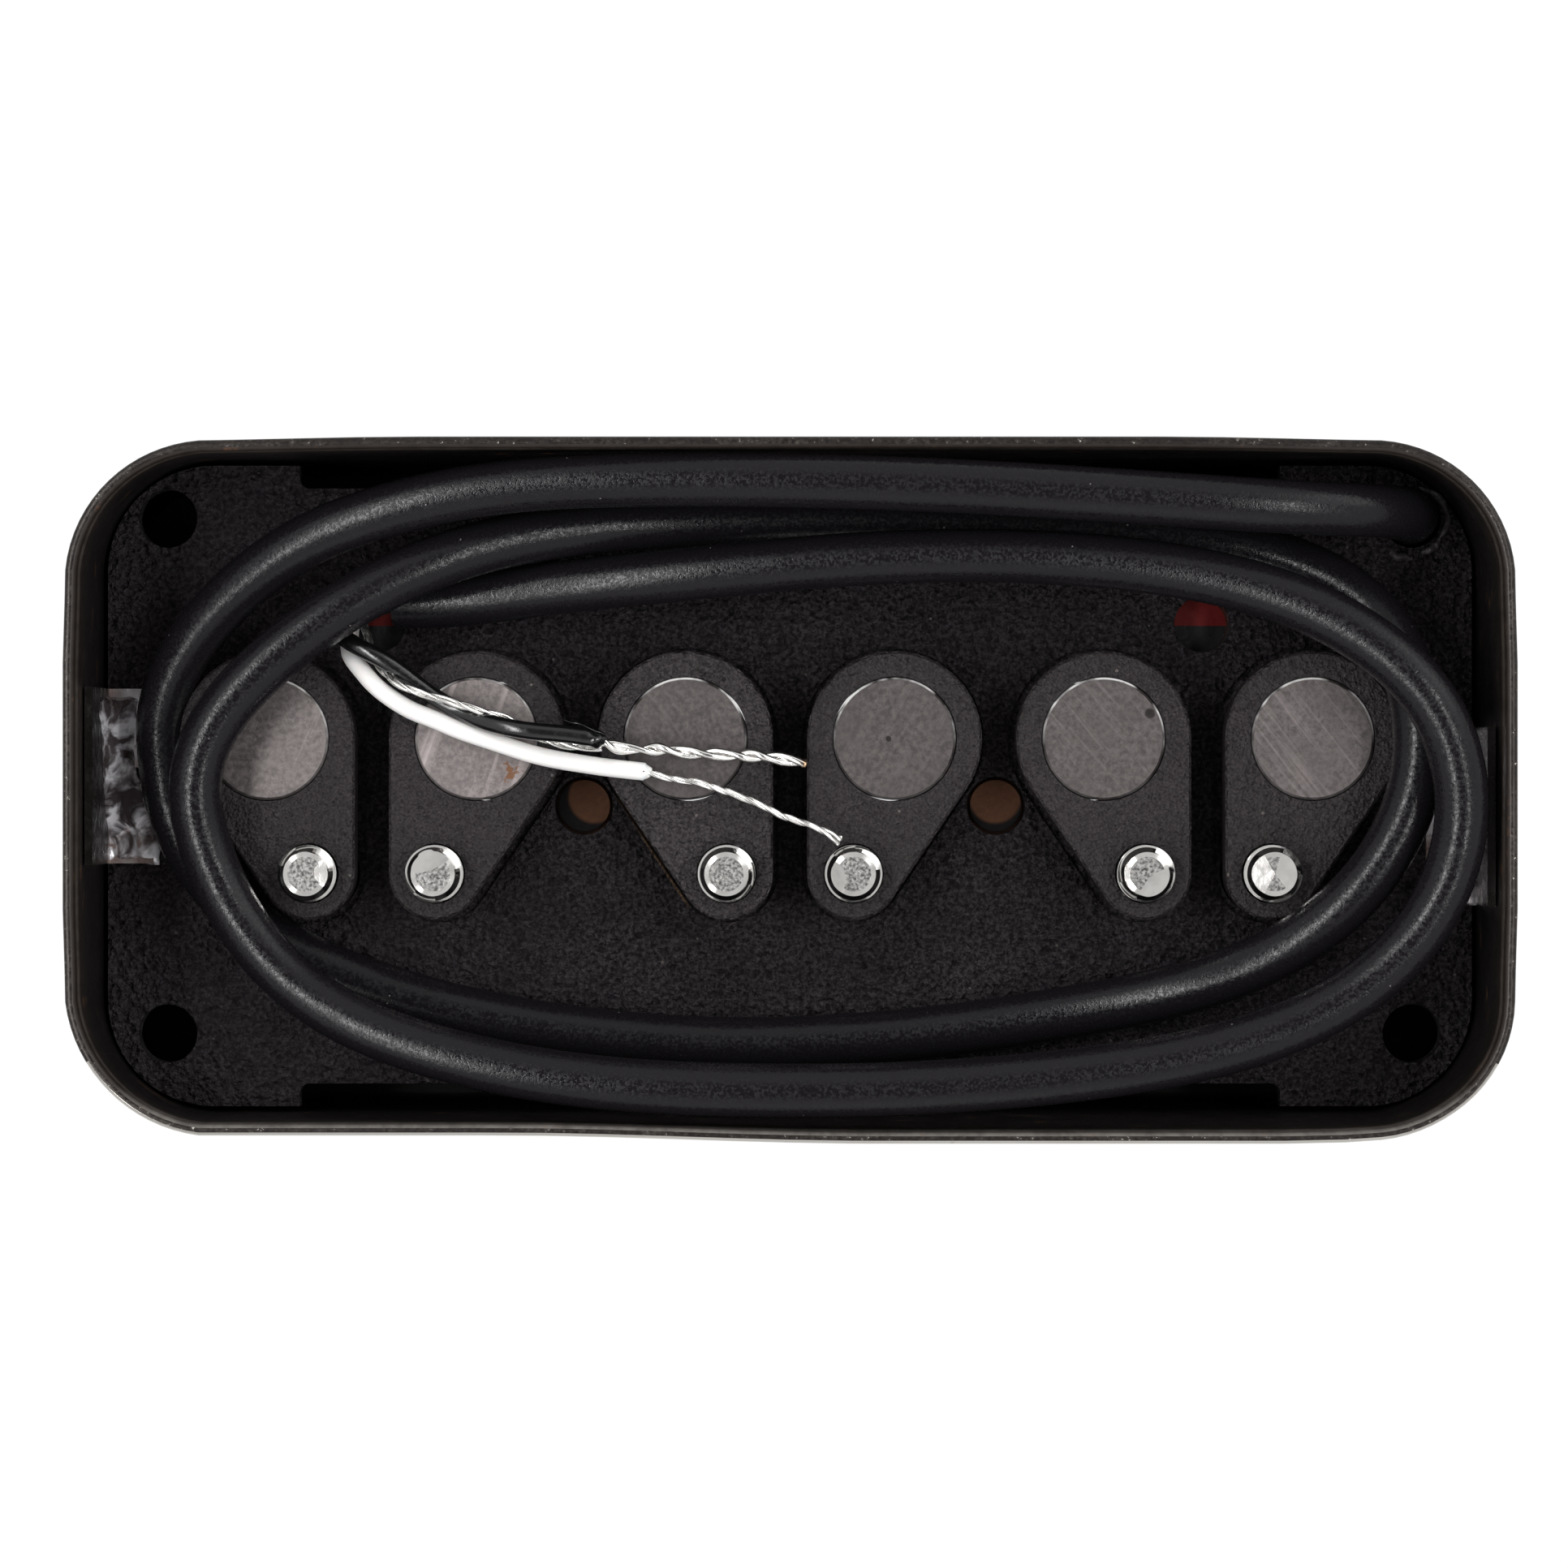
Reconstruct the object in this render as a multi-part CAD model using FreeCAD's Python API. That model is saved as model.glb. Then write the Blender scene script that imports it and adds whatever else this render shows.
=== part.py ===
import FreeCAD, Part
import math
import os

# Single-coil guitar pickup lying face down, seen from its open back.
# Frame: +X along the row of magnets, +Y across it, +Z from the face towards the open back.
# The origin is the centre of the cover's face, on the surface that the pickup lies on.
# All lengths are millimetres.

# Drawn metal cover
cover_height = 20.5
cover_sheet = 0.55
cover_corner = 6.5
cover_face_round = 1.0
window_margin = 1.95
window_width = 17.2
window_corner = 2.0

# Textured base plate across the back of the coil
recess_depth = 10.3
base_gap = 0.28
base_thickness = 1.4
base_corner_ease = 0.6
base_end_overhang = 0.1
base_side_overhang = 3.42
notch_end = 9.68
notch_depth = 1.15
notch_corner = 0.5
hole_inset_x = 3.03
hole_inset_y = 3.17
hole_centre_y = 0.5
hole_d = 2.95

# Moulded bobbin, its fibre flange and the winding
bobbin_flange_thickness = 1.2
bobbin_flange_end_gap = 0.05
bobbin_flange_overhang = 1.9
bobbin_flange_corner = 12.6
boss_recess = 0.15
boss_gap = 0.15
core_wall = 0.6
core_width = 16.3
core_corner = 5.0
fibre_thickness = 0.8
fibre_margin = 0.25
coil_build = 4.2
tape_thickness = 0.15

# Holes that show the winding, and the fibre pins
lead_hole_d = 2.8
pin_d = 2.6
pin_y = -1.0
pin_hole_d = 2.95
pin_depth = 2.0
pin_recess = 0.5

# Six height-adjustable magnets in their carriers
string_count = 6
string_pitch = 10.4
magnet_row_y = 2.35
screw_row_y = -4.35
magnet_d = 6.1
magnet_recess = 0.4
magnet_edge = 0.12
carrier_big_r = 4.35
carrier_small_r = 2.3
carrier_thickness = 2.0
carrier_edge = 0.12
stand_off = 2.2
seat_depth = 0.35
seat_gap = 0.25
glue_gap = 0.05
running_gap = 0.08
clear_gap = 0.3

# Height screws and their springs
thread_d = 2.845
tip_length = 1.9
tip_chamfer = 0.45
head_d = 4.2
head_height = 1.3
head_recess = 0.35
head_gap = 0.2
head_edge = 0.2
slot_width = 0.65
slot_depth = 0.7
slot_step_deg = 111.25
seat_play = 0.05
spring_wire_d = 0.4
spring_gap = 0.2
spring_seat_depth = 3.0
spring_turns = 7
quarters_per_turn = 4

# Ground tabs soldered to the cover
tab_thickness = 0.4
tab_width = 8.8
tab_foot = 2.6
tab_top_drop = 3.1
tab_hole_d = 0.9
tab_wall_gap = 0.02
tab_bend = 0.35
tab_left_y = 0.5
tab_right_y = -1.5
solder_thickness = 0.55
solder_width = 7.2
solder_rise = 0.7
solder_round = 0.24
solder_top_drop = 0.5

# Cable and its conductors
cable_d = 2.65
white_wire_d = 0.9
black_wire_d = 0.9
drain_d = 0.5
strand_d = 0.42
twist_d = 0.72
inner_wire_d = 0.8
inner_wire_drop = 2.4
inner_wire_side = 0.5

# Share of the shorter run that an arc takes on each side of its point
arc_share = 0.45
overrun = 1.0

# Route of the cable, from inside the corner hole to its stripped end
cable_route = [
    (31.4, 13.5, 6.0), (31.4, 13.5, 13.4), (28.4, 13.5, 16.9), (23.3, 13.6, 19.1),
    (16.9, 14.1, 19.8), (9.0, 14.6, 19.8), (1.0, 14.9, 19.7), (-6.9, 15.0, 19.2),
    (-13.3, 14.8, 18.5), (-18.9, 13.9, 17.8), (-24.5, 12.0, 16.6), (-29.1, 8.3, 14.9),
    (-31.9, 4.3, 13.4), (-32.1, 0.7, 12.7), (-31.0, -2.1, 12.3), (-28.9, -5.1, 12.0),
    (-25.2, -8.4, 11.7), (-19.6, -10.6, 11.7), (-13.6, -12.0, 11.7), (-7.1, -12.8, 11.7),
    (-1.0, -13.0, 11.7), (6.4, -12.5, 11.8), (13.3, -11.5, 12.2), (19.3, -10.3, 13.4),
    (23.8, -8.6, 15.3), (27.5, -5.9, 16.6), (29.9, -2.7, 16.8), (31.1, 0.9, 16.8),
    (30.9, 4.8, 16.6), (29.4, 8.4, 15.2), (26.0, 11.0, 13.6), (20.6, 12.4, 12.6),
    (14.1, 13.0, 12.4), (7.2, 13.3, 12.5), (0.3, 13.3, 12.8), (-6.2, 13.2, 13.4),
    (-12.2, 12.6, 14.9), (-17.2, 11.3, 16.4), (-21.7, 9.1, 17.1), (-25.7, 6.2, 17.2),
    (-28.5, 3.1, 17.1), (-29.5, 0.1, 16.9), (-28.9, -3.1, 16.7), (-27.1, -6.9, 16.7),
    (-24.2, -10.1, 17.1), (-20.1, -12.3, 17.9), (-14.0, -13.9, 18.8), (-7.7, -14.7, 19.3),
    (-0.9, -14.9, 19.4), (6.2, -14.8, 19.4), (13.7, -14.2, 19.3), (20.1, -13.2, 19.0),
    (24.9, -11.7, 18.8), (28.8, -9.4, 18.8), (31.7, -6.0, 19.1), (32.9, -2.0, 19.5),
    (32.5, 1.9, 19.8), (30.6, 5.3, 19.9), (26.8, 8.2, 19.4), (22.1, 10.0, 18.5),
    (16.6, 10.9, 17.6), (10.2, 11.3, 16.9), (4.2, 11.2, 16.5), (-2.1, 10.7, 16.0),
    (-8.2, 9.8, 15.0), (-13.2, 9.0, 13.6), (-17.3, 8.4, 12.4), (-20.8, 8.4, 12.3),
]

# Routes of its conductors, from the end of the jacket
white_route = [
    (-20.8, 7.9, 12.0), (-21.7, 7.9, 12.0), (-22.3, 7.5, 12.9), (-22.2, 6.6, 14.4),
    (-21.2, 5.5, 15.6), (-19.0, 4.1, 15.9), (-16.2, 2.8, 15.9), (-13.4, 1.9, 15.8),
    (-10.3, 1.1, 15.7), (-7.2, 0.6, 15.7),
]
white_strand_route = [
    (-7.1, 0.6, 15.7), (-5.0, 0.2, 15.8), (-3.0, -0.4, 15.7), (-1.0, -1.3, 15.7), (2.3, -2.4, 15.8),
]
black_route = [
    (-20.8, 8.9, 12.0), (-21.8, 8.9, 12.0), (-22.7, 8.7, 12.9), (-22.7, 7.9, 14.6),
    (-21.0, 6.8, 16.2), (-18.6, 5.2, 16.9), (-17.1, 3.8, 16.9), (-15.1, 2.9, 16.9),
    (-12.3, 2.8, 16.8), (-9.8, 2.5, 16.7),
]
drain_route = [
    (-21.0, 8.4, 13.0), (-21.5, 8.3, 13.3), (-21.5, 7.7, 14.1), (-20.8, 6.5, 15.0),
    (-19.5, 5.3, 15.6), (-17.5, 4.5, 15.7), (-15.2, 3.9, 15.8), (-13.2, 3.2, 15.7),
    (-11.4, 2.4, 15.9), (-9.6, 1.9, 15.9),
]
twist_route = [
    (-9.5, 1.9, 15.9), (-7.0, 1.8, 15.9), (-4.4, 1.4, 15.8), (-1.8, 1.3, 15.8), (1.1, 1.0, 15.9),
]

# Heights and places that follow from the sizes
thread_r = thread_d / 2
magnet_r = magnet_d / 2
hole_r = hole_d / 2
magnet_span = (string_count - 1) * string_pitch + magnet_d
core_length = magnet_span + 2 * (running_gap + core_wall)
coil_length = core_length + 2 * coil_build
coil_width = core_width + 2 * coil_build
coil_corner = core_corner + coil_build
fibre_length = coil_length + 2 * (tape_thickness + fibre_margin)
fibre_width = coil_width + 2 * (tape_thickness + fibre_margin)
base_length = fibre_length + 2 * base_end_overhang
base_width = fibre_width + 2 * base_side_overhang
inner_length = base_length + 2 * base_gap
inner_width = base_width + 2 * base_gap
inner_corner = cover_corner - cover_sheet
base_corner = inner_corner - base_corner_ease
inner_round = cover_face_round - cover_sheet
bobbin_flange_length = inner_length - 2 * (inner_round + bobbin_flange_end_gap)
cover_length = inner_length + 2 * cover_sheet
cover_width = inner_width + 2 * cover_sheet
window_length = magnet_span + 2 * window_margin
notch_length = base_length - 2 * notch_end
base_top = cover_height - recess_depth
base_bottom = base_top - base_thickness
core_bottom = cover_sheet + bobbin_flange_thickness
core_top = base_bottom - fibre_thickness
carrier_bottom = base_top + stand_off
carrier_top = carrier_bottom + carrier_thickness
screw_offset = carrier_big_r - carrier_small_r
screw_tip = carrier_top + tip_length
head_bottom = head_recess
head_top = head_recess + head_height
spring_bottom = core_top - spring_seat_depth
spring_r = thread_r + spring_gap + spring_wire_d / 2
spring_hole_r = spring_r + spring_wire_d / 2 + spring_gap
hole_x = base_length / 2 - hole_inset_x
hole_high_y = hole_centre_y + base_width / 2 - hole_inset_y
hole_low_y = hole_centre_y - base_width / 2 + hole_inset_y
lead_hole_x = 2 * string_pitch
lead_hole_y = core_width / 2
pin_x = string_pitch


def vec(x, y, z=0):
    return FreeCAD.Vector(x, y, z)


def cylinder(x, y, radius, low, high):
    return Part.makeCylinder(radius, high - low, vec(x, y, low))


def block(x0, x1, y0, y1, low, high):
    return Part.makeBox(x1 - x0, y1 - y0, high - low, vec(x0, y0, low))


def slab(length, width, corner, low, high):
    """Flat slab centred on the origin, with round corners."""
    body = block(-length / 2, length / 2, -width / 2, width / 2, low, high)
    upright = [e for e in body.Edges if abs(e.Vertexes[0].Z - e.Vertexes[-1].Z) > (high - low) / 2]
    return body.makeFillet(corner, upright)


def edges_at(shape, height):
    """Edges that lie flat at one height."""
    near = cover_sheet / 100
    return [e for e in shape.Edges if all(abs(v.Z - height) < near for v in e.Vertexes)]


def teardrop(big, big_r, small, small_r, low, high):
    """Round-ended plate about two circles and their outer tangents."""
    along = small.sub(big)
    reach = along.Length
    along.normalize()
    across = vec(-along.y, along.x)
    lean = math.acos((big_r - small_r) / reach)
    right = along * math.cos(lean) + across * math.sin(lean)
    left = along * math.cos(lean) - across * math.sin(lean)
    points = [big + right * big_r, small + right * small_r, small + left * small_r, big + left * big_r]
    outline = Part.Wire([
        Part.LineSegment(points[0], points[1]).toShape(),
        Part.Arc(points[1], small + along * small_r, points[2]).toShape(),
        Part.LineSegment(points[2], points[3]).toShape(),
        Part.Arc(points[3], big - along * big_r, points[0]).toShape(),
    ])
    plate = Part.Face(outline).extrude(vec(0, 0, high - low))
    plate.translate(vec(0, 0, low))
    return plate


def arc_middle(before, corner, after):
    """Middle point and radius of the arc that leaves before and meets after, tangent to both legs."""
    first = before.sub(corner)
    second = after.sub(corner)
    half_turn = (math.pi - first.getAngle(second)) / 2
    radius = first.Length / math.tan(half_turn)
    inward = before.add(after) * 0.5 - corner
    inward.normalize()
    return corner + inward * (radius / math.cos(half_turn) - radius), radius


def cord_tube(name, route, diameter):
    """Tube on straight runs joined by tangent arcs, each as large as its runs allow."""
    points = [vec(*p) for p in route]
    runs = [points[i + 1].sub(points[i]) for i in range(len(points) - 1)]
    edges = []
    radii = []
    start = points[0]
    for i in range(1, len(points) - 1):
        reach = arc_share * min(runs[i - 1].Length, runs[i].Length)
        into = points[i] - FreeCAD.Vector(runs[i - 1]).normalize() * reach
        out = points[i] + FreeCAD.Vector(runs[i]).normalize() * reach
        middle, radius = arc_middle(into, points[i], out)
        radii.append(radius)
        edges.append(Part.LineSegment(start, into).toShape())
        edges.append(Part.Arc(into, middle, out).toShape())
        start = out
    edges.append(Part.LineSegment(start, points[-1]).toShape())
    path = Part.Wire(edges)
    section = Part.Wire(Part.makeCircle(diameter / 2, points[0], runs[0]))
    tube = path.makePipeShell([section], True, False)
    expected = path.Length * math.pi * diameter * diameter / 4
    print(name, "length", round(path.Length, 2), "least radius", round(min(radii), 2),
          "volume share", round(tube.Volume / expected, 4))
    return tube, path


def least_gap(path, diameter):
    """Least gap of a tube to itself, measured on points of its path."""
    count = int(path.Length / diameter * 4)
    points = path.discretize(count)
    step = path.Length / (count - 1)
    apart = int(3 * diameter / step)
    nearest = min(points[i].distanceToPoint(points[j])
                  for i in range(count) for j in range(i + apart, count))
    return nearest - diameter


def helix_tube(x, y, radius, wire_d, low, high, turns):
    """Wire wound about an upright axis, on biarcs of a quarter turn."""
    count = turns * quarters_per_turn
    step = 2 * math.pi / quarters_per_turn
    climb = (high - low) / count
    slope = climb / (radius * step)
    scale = math.hypot(1, slope)

    def place(i):
        return vec(x + radius * math.cos(i * step), y + radius * math.sin(i * step), low + climb * i)

    def heading(i):
        return vec(-math.sin(i * step) / scale, math.cos(i * step) / scale, slope / scale)

    edges = []
    for i in range(count):
        begin, end = place(i), place(i + 1)
        leave, arrive = heading(i), heading(i + 1)
        chord = end.sub(begin)
        turning = 1 - leave.dot(arrive)
        along = chord.dot(leave + arrive)
        leg = (math.sqrt(along ** 2 + 2 * turning * chord.dot(chord)) - along) / (2 * turning)
        first, second = begin + leave * leg, end - arrive * leg
        join = (first + second) * 0.5
        for a, corner, b in ((begin, first, join), (join, second, end)):
            edges.append(Part.Arc(a, arc_middle(a, corner, b)[0], b).toShape())
    path = Part.Wire(edges)
    section = Part.Wire(Part.makeCircle(wire_d / 2, place(0), heading(0)))
    return path.makePipeShell([section], True, False), path


def export(name, shape):
    bad = [s for s in shape.Solids if not s.isValid()]
    print(name, "solids", len(shape.Solids), "volume", round(shape.Volume, 3), "invalid", len(bad))
    shape.exportStep("parts/" + name + ".step")


def magnet_place(i):
    return vec((i - (string_count - 1) / 2) * string_pitch, magnet_row_y)


def screw_place(i):
    """The screws lie towards each other in pairs, on alternate sides of their magnets."""
    side = 1 if i % 2 == 0 else -1
    return vec(magnet_place(i).x + side * screw_offset, screw_row_y)


def make_cover():
    shell = slab(cover_length, cover_width, cover_corner, 0, cover_height)
    shell = shell.makeFillet(cover_face_round, edges_at(shell, 0))
    hollow = slab(inner_length, inner_width, inner_corner, cover_sheet, cover_height + overrun)
    hollow = hollow.makeFillet(inner_round, edges_at(hollow, cover_sheet))
    window = slab(window_length, window_width, window_corner, -overrun, cover_sheet + overrun)
    return shell.cut(hollow).cut(window)


def make_base_plate():
    plate = slab(base_length, base_width, base_corner, base_bottom, base_top)
    cuts = []
    for side in (1, -1):
        edge = side * base_width / 2
        near = edge - side * notch_depth
        far = edge + side * overrun
        notch = block(-notch_length / 2, notch_length / 2, min(near, far), max(near, far),
                      base_bottom - overrun, base_top + overrun)
        inner = [e for e in notch.Edges if abs(e.Vertexes[0].Z - e.Vertexes[-1].Z) > base_thickness
                 and abs(e.Vertexes[0].Y - near) < notch_depth / 2]
        cuts.append(notch.makeFillet(notch_corner, inner))
    low, high = base_bottom - overrun, base_top + overrun
    for side in (-1, 1):
        for y in (hole_low_y, hole_high_y):
            cuts.append(cylinder(side * hole_x, y, hole_r, low, high))
        cuts.append(cylinder(side * lead_hole_x, lead_hole_y, lead_hole_d / 2, low, high))
        cuts.append(cylinder(side * pin_x, pin_y, pin_hole_d / 2, low, high))
    for i in range(string_count):
        magnet, screw = magnet_place(i), screw_place(i)
        cuts.append(cylinder(magnet.x, magnet.y, magnet_r + clear_gap, low, high))
        cuts.append(cylinder(screw.x, screw.y, spring_hole_r, low, high))
        cuts.append(teardrop(magnet, carrier_big_r + seat_gap, screw, carrier_small_r + seat_gap,
                             base_top - seat_depth, high))
    return plate.cut(cuts)


def make_bobbin():
    boss = slab(window_length - 2 * boss_gap, window_width - 2 * boss_gap, window_corner - boss_gap,
                boss_recess, cover_sheet)
    flange = slab(bobbin_flange_length, fibre_width + 2 * bobbin_flange_overhang,
                  bobbin_flange_corner, cover_sheet, core_bottom)
    core = slab(core_length, core_width, core_corner, core_bottom, core_top)
    cuts = []
    for i in range(string_count):
        magnet, screw = magnet_place(i), screw_place(i)
        cuts.append(cylinder(magnet.x, magnet.y, magnet_r + running_gap, -overrun, core_top + overrun))
        cuts.append(cylinder(screw.x, screw.y, thread_r + running_gap, -overrun, core_top + overrun))
        cuts.append(cylinder(screw.x, screw.y, head_d / 2 + head_gap, -overrun, head_top + seat_play))
        cuts.append(cylinder(screw.x, screw.y, spring_hole_r, spring_bottom, core_top + overrun))
    for x in (-pin_x, pin_x):
        cuts.append(cylinder(x, pin_y, pin_d / 2, core_top - pin_depth, core_top + overrun))
    return boss.fuse([flange, core]).removeSplitter().cut(cuts)


def make_fibre_flange():
    corner = coil_corner + tape_thickness + fibre_margin
    plate = slab(fibre_length, fibre_width, corner, core_top, base_bottom)
    cuts = []
    low, high = core_top - overrun, base_bottom + overrun
    for i in range(string_count):
        magnet, screw = magnet_place(i), screw_place(i)
        cuts.append(cylinder(magnet.x, magnet.y, magnet_r + clear_gap, low, high))
        cuts.append(cylinder(screw.x, screw.y, spring_hole_r, low, high))
    for side in (-1, 1):
        cuts.append(cylinder(side * lead_hole_x, lead_hole_y, lead_hole_d / 2, low, high))
        cuts.append(cylinder(side * pin_x, pin_y, pin_d / 2, low, high))
    return plate.cut(cuts)


def make_pins():
    pins = [cylinder(x, pin_y, pin_d / 2, core_top - pin_depth, base_top - pin_recess)
            for x in (-pin_x, pin_x)]
    return Part.makeCompound(pins)


def make_winding():
    outer = slab(coil_length, coil_width, coil_corner, core_bottom, core_top)
    inner = slab(core_length, core_width, core_corner, core_bottom - overrun, core_top + overrun)
    return outer.cut(inner)


def make_tape():
    outer = slab(coil_length + 2 * tape_thickness, coil_width + 2 * tape_thickness,
                 coil_corner + tape_thickness, core_bottom, core_top)
    inner = slab(coil_length, coil_width, coil_corner, core_bottom - overrun, core_top + overrun)
    return outer.cut(inner)


def make_carrier(i):
    magnet, screw = magnet_place(i), screw_place(i)
    plate = teardrop(magnet, carrier_big_r, screw, carrier_small_r, carrier_bottom, carrier_top)
    plate = plate.makeChamfer(carrier_edge, edges_at(plate, carrier_top))
    low, high = carrier_bottom - overrun, carrier_top + overrun
    magnet_bore = cylinder(magnet.x, magnet.y, magnet_r + glue_gap, low, high)
    return plate.cut([magnet_bore, cylinder(screw.x, screw.y, thread_r + running_gap, low, high)])


def make_magnet(i):
    place = magnet_place(i)
    rod = cylinder(place.x, place.y, magnet_r, magnet_recess, carrier_top)
    return rod.makeChamfer(magnet_edge, edges_at(rod, magnet_recess) + edges_at(rod, carrier_top))


def make_screw(i):
    """Slotted screw: the head shows at the face, the bare end behind its carrier."""
    place = screw_place(i)
    head = cylinder(place.x, place.y, head_d / 2, head_bottom, head_top)
    head = head.makeFillet(head_edge, edges_at(head, head_bottom))
    shank = cylinder(place.x, place.y, thread_r, head_top, screw_tip)
    shank = shank.makeChamfer(tip_chamfer, edges_at(shank, screw_tip))
    slot = block(place.x - slot_width / 2, place.x + slot_width / 2, place.y - head_d, place.y + head_d,
                 head_bottom - overrun, head_bottom + slot_depth)
    slot.rotate(vec(place.x, place.y), vec(0, 0, 1), (i + 1) * slot_step_deg)
    return head.fuse(shank).cut(slot)


def make_spring(i):
    place = screw_place(i)
    half_wire = spring_wire_d / 2
    return helix_tube(place.x, place.y, spring_r, spring_wire_d, spring_bottom + half_wire,
                      carrier_bottom - half_wire, spring_turns)


def make_tab(side, centre_y):
    """Folded strip: its foot lies on the base plate and its leg stands against the cover's wall."""
    wall = inner_length / 2 - tab_wall_gap
    foot_end = wall - tab_foot
    high = cover_height - tab_top_drop
    y0, y1 = centre_y - tab_width / 2, centre_y + tab_width / 2
    foot = block(foot_end, wall, y0, y1, base_top, base_top + tab_thickness)
    leg = block(wall - tab_thickness, wall, y0, y1, base_top, high)
    tab = foot.fuse(leg).removeSplitter()
    bend = [e for e in tab.Edges if len(e.Vertexes) == 2
            and all(abs(v.X - wall) + abs(v.Z - base_top) < tab_thickness / 2 for v in e.Vertexes)]
    tab = tab.makeFillet(tab_bend, bend)
    tab = tab.cut(cylinder(foot_end + tab_hole_d, centre_y, tab_hole_d / 2,
                           base_top - overrun, base_top + tab_thickness + overrun))
    return tab if side > 0 else tab.mirror(vec(0, 0, 0), vec(1, 0, 0))


def make_solder(side, centre_y):
    """Pillow of solder that covers the leg of a tab."""
    face = inner_length / 2 - tab_wall_gap - tab_thickness
    low = base_top + tab_thickness + solder_rise
    high = cover_height - tab_top_drop - solder_top_drop
    pillow = block(face - solder_thickness, face, centre_y - solder_width / 2,
                   centre_y + solder_width / 2, low, high)
    front = [e for e in pillow.Edges if any(abs(v.X - face) > solder_thickness / 2 for v in e.Vertexes)]
    pillow = pillow.makeFillet(solder_round, front)
    return pillow if side > 0 else pillow.mirror(vec(0, 0, 0), vec(1, 0, 0))


def make_inner_leads():
    """The two conductors that leave the cable inside and end against the taped coil."""
    start = vec(*cable_route[0])
    centre = vec(coil_length / 2 - coil_corner, coil_width / 2 - coil_corner)
    reach = coil_corner + tape_thickness + inner_wire_d / 2
    leads = []
    for side in (-1, 1):
        top = start + vec(side * inner_wire_side, -side * inner_wire_side)
        low = top - vec(0, 0, inner_wire_drop)
        towards = vec(top.x - centre.x, top.y - centre.y)
        towards.normalize()
        end = centre + towards * reach + vec(0, 0, low.z - inner_wire_side)
        leads.append(cord_tube("inner_lead", [top, low, end], inner_wire_d)[0])
    return Part.makeCompound(leads)


os.makedirs("parts", exist_ok=True)

export("cover", make_cover())
export("base_plate", make_base_plate())
export("bobbin", make_bobbin())
export("fibre_flange", make_fibre_flange())
export("fibre_pins", make_pins())
export("coil_winding", make_winding())
export("coil_tape", make_tape())
for string in range(string_count):
    number = str(string + 1)
    export("carrier_" + number, make_carrier(string))
    export("magnet_" + number, make_magnet(string))
    export("height_screw_" + number, make_screw(string))
    spring, spring_path = make_spring(string)
    export("spring_" + number, spring)
print("spring: least gap to itself", round(least_gap(spring_path, spring_wire_d), 3))
for side_name, side, centre_y in (("left", -1, tab_left_y), ("right", 1, tab_right_y)):
    export("ground_tab_" + side_name, make_tab(side, centre_y))
    export("solder_" + side_name, make_solder(side, centre_y))
cable, cable_path = cord_tube("cable", cable_route, cable_d)
export("cable", cable)
print("cable: least gap to itself", round(least_gap(cable_path, cable_d), 3))
export("white_wire", cord_tube("white_wire", white_route, white_wire_d)[0])
export("white_strands", cord_tube("white_strands", white_strand_route, strand_d)[0])
export("black_wire", cord_tube("black_wire", black_route, black_wire_d)[0])
export("drain_wire", cord_tube("drain_wire", drain_route, drain_d)[0])
export("twisted_strands", cord_tube("twisted_strands", twist_route, twist_d)[0])
export("inner_leads", make_inner_leads())
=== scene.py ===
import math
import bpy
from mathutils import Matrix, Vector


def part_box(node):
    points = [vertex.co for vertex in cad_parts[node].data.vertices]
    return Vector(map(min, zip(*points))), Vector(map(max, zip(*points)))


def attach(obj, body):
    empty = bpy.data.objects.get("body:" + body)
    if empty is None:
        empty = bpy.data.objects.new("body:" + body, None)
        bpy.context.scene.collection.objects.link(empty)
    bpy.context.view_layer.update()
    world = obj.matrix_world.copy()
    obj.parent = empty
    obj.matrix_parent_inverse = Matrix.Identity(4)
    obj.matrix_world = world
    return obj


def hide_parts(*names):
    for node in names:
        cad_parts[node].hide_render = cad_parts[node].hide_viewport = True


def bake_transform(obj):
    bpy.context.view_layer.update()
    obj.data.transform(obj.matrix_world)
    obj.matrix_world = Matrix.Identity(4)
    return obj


bl_info = {
    "name": "Guitar Pickup, Open Back",
    "version": (1, 0, 0),
    "blender": (4, 5, 0),
    "location": "View3D > Sidebar > Pickup",
    "description": "Dresses the guitar pickup with its cable, wires, screws, solder and finishes",
    "category": "Object",
}

import bmesh
import bpy
from bpy.props import FloatProperty, FloatVectorProperty, IntProperty, PointerProperty
from mathutils import Matrix, Vector, noise

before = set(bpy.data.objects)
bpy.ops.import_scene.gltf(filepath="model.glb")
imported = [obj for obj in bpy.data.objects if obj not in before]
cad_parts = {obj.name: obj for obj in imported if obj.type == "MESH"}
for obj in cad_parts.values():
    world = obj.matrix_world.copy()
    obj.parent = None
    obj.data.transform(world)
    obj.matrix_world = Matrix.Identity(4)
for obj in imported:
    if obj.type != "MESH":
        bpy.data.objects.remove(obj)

MM = 0.001


def tenths(*points):
    """Places in metres, from places in tenths of a millimetre."""
    return [tuple(value / 10000 for value in point) for point in points]


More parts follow.
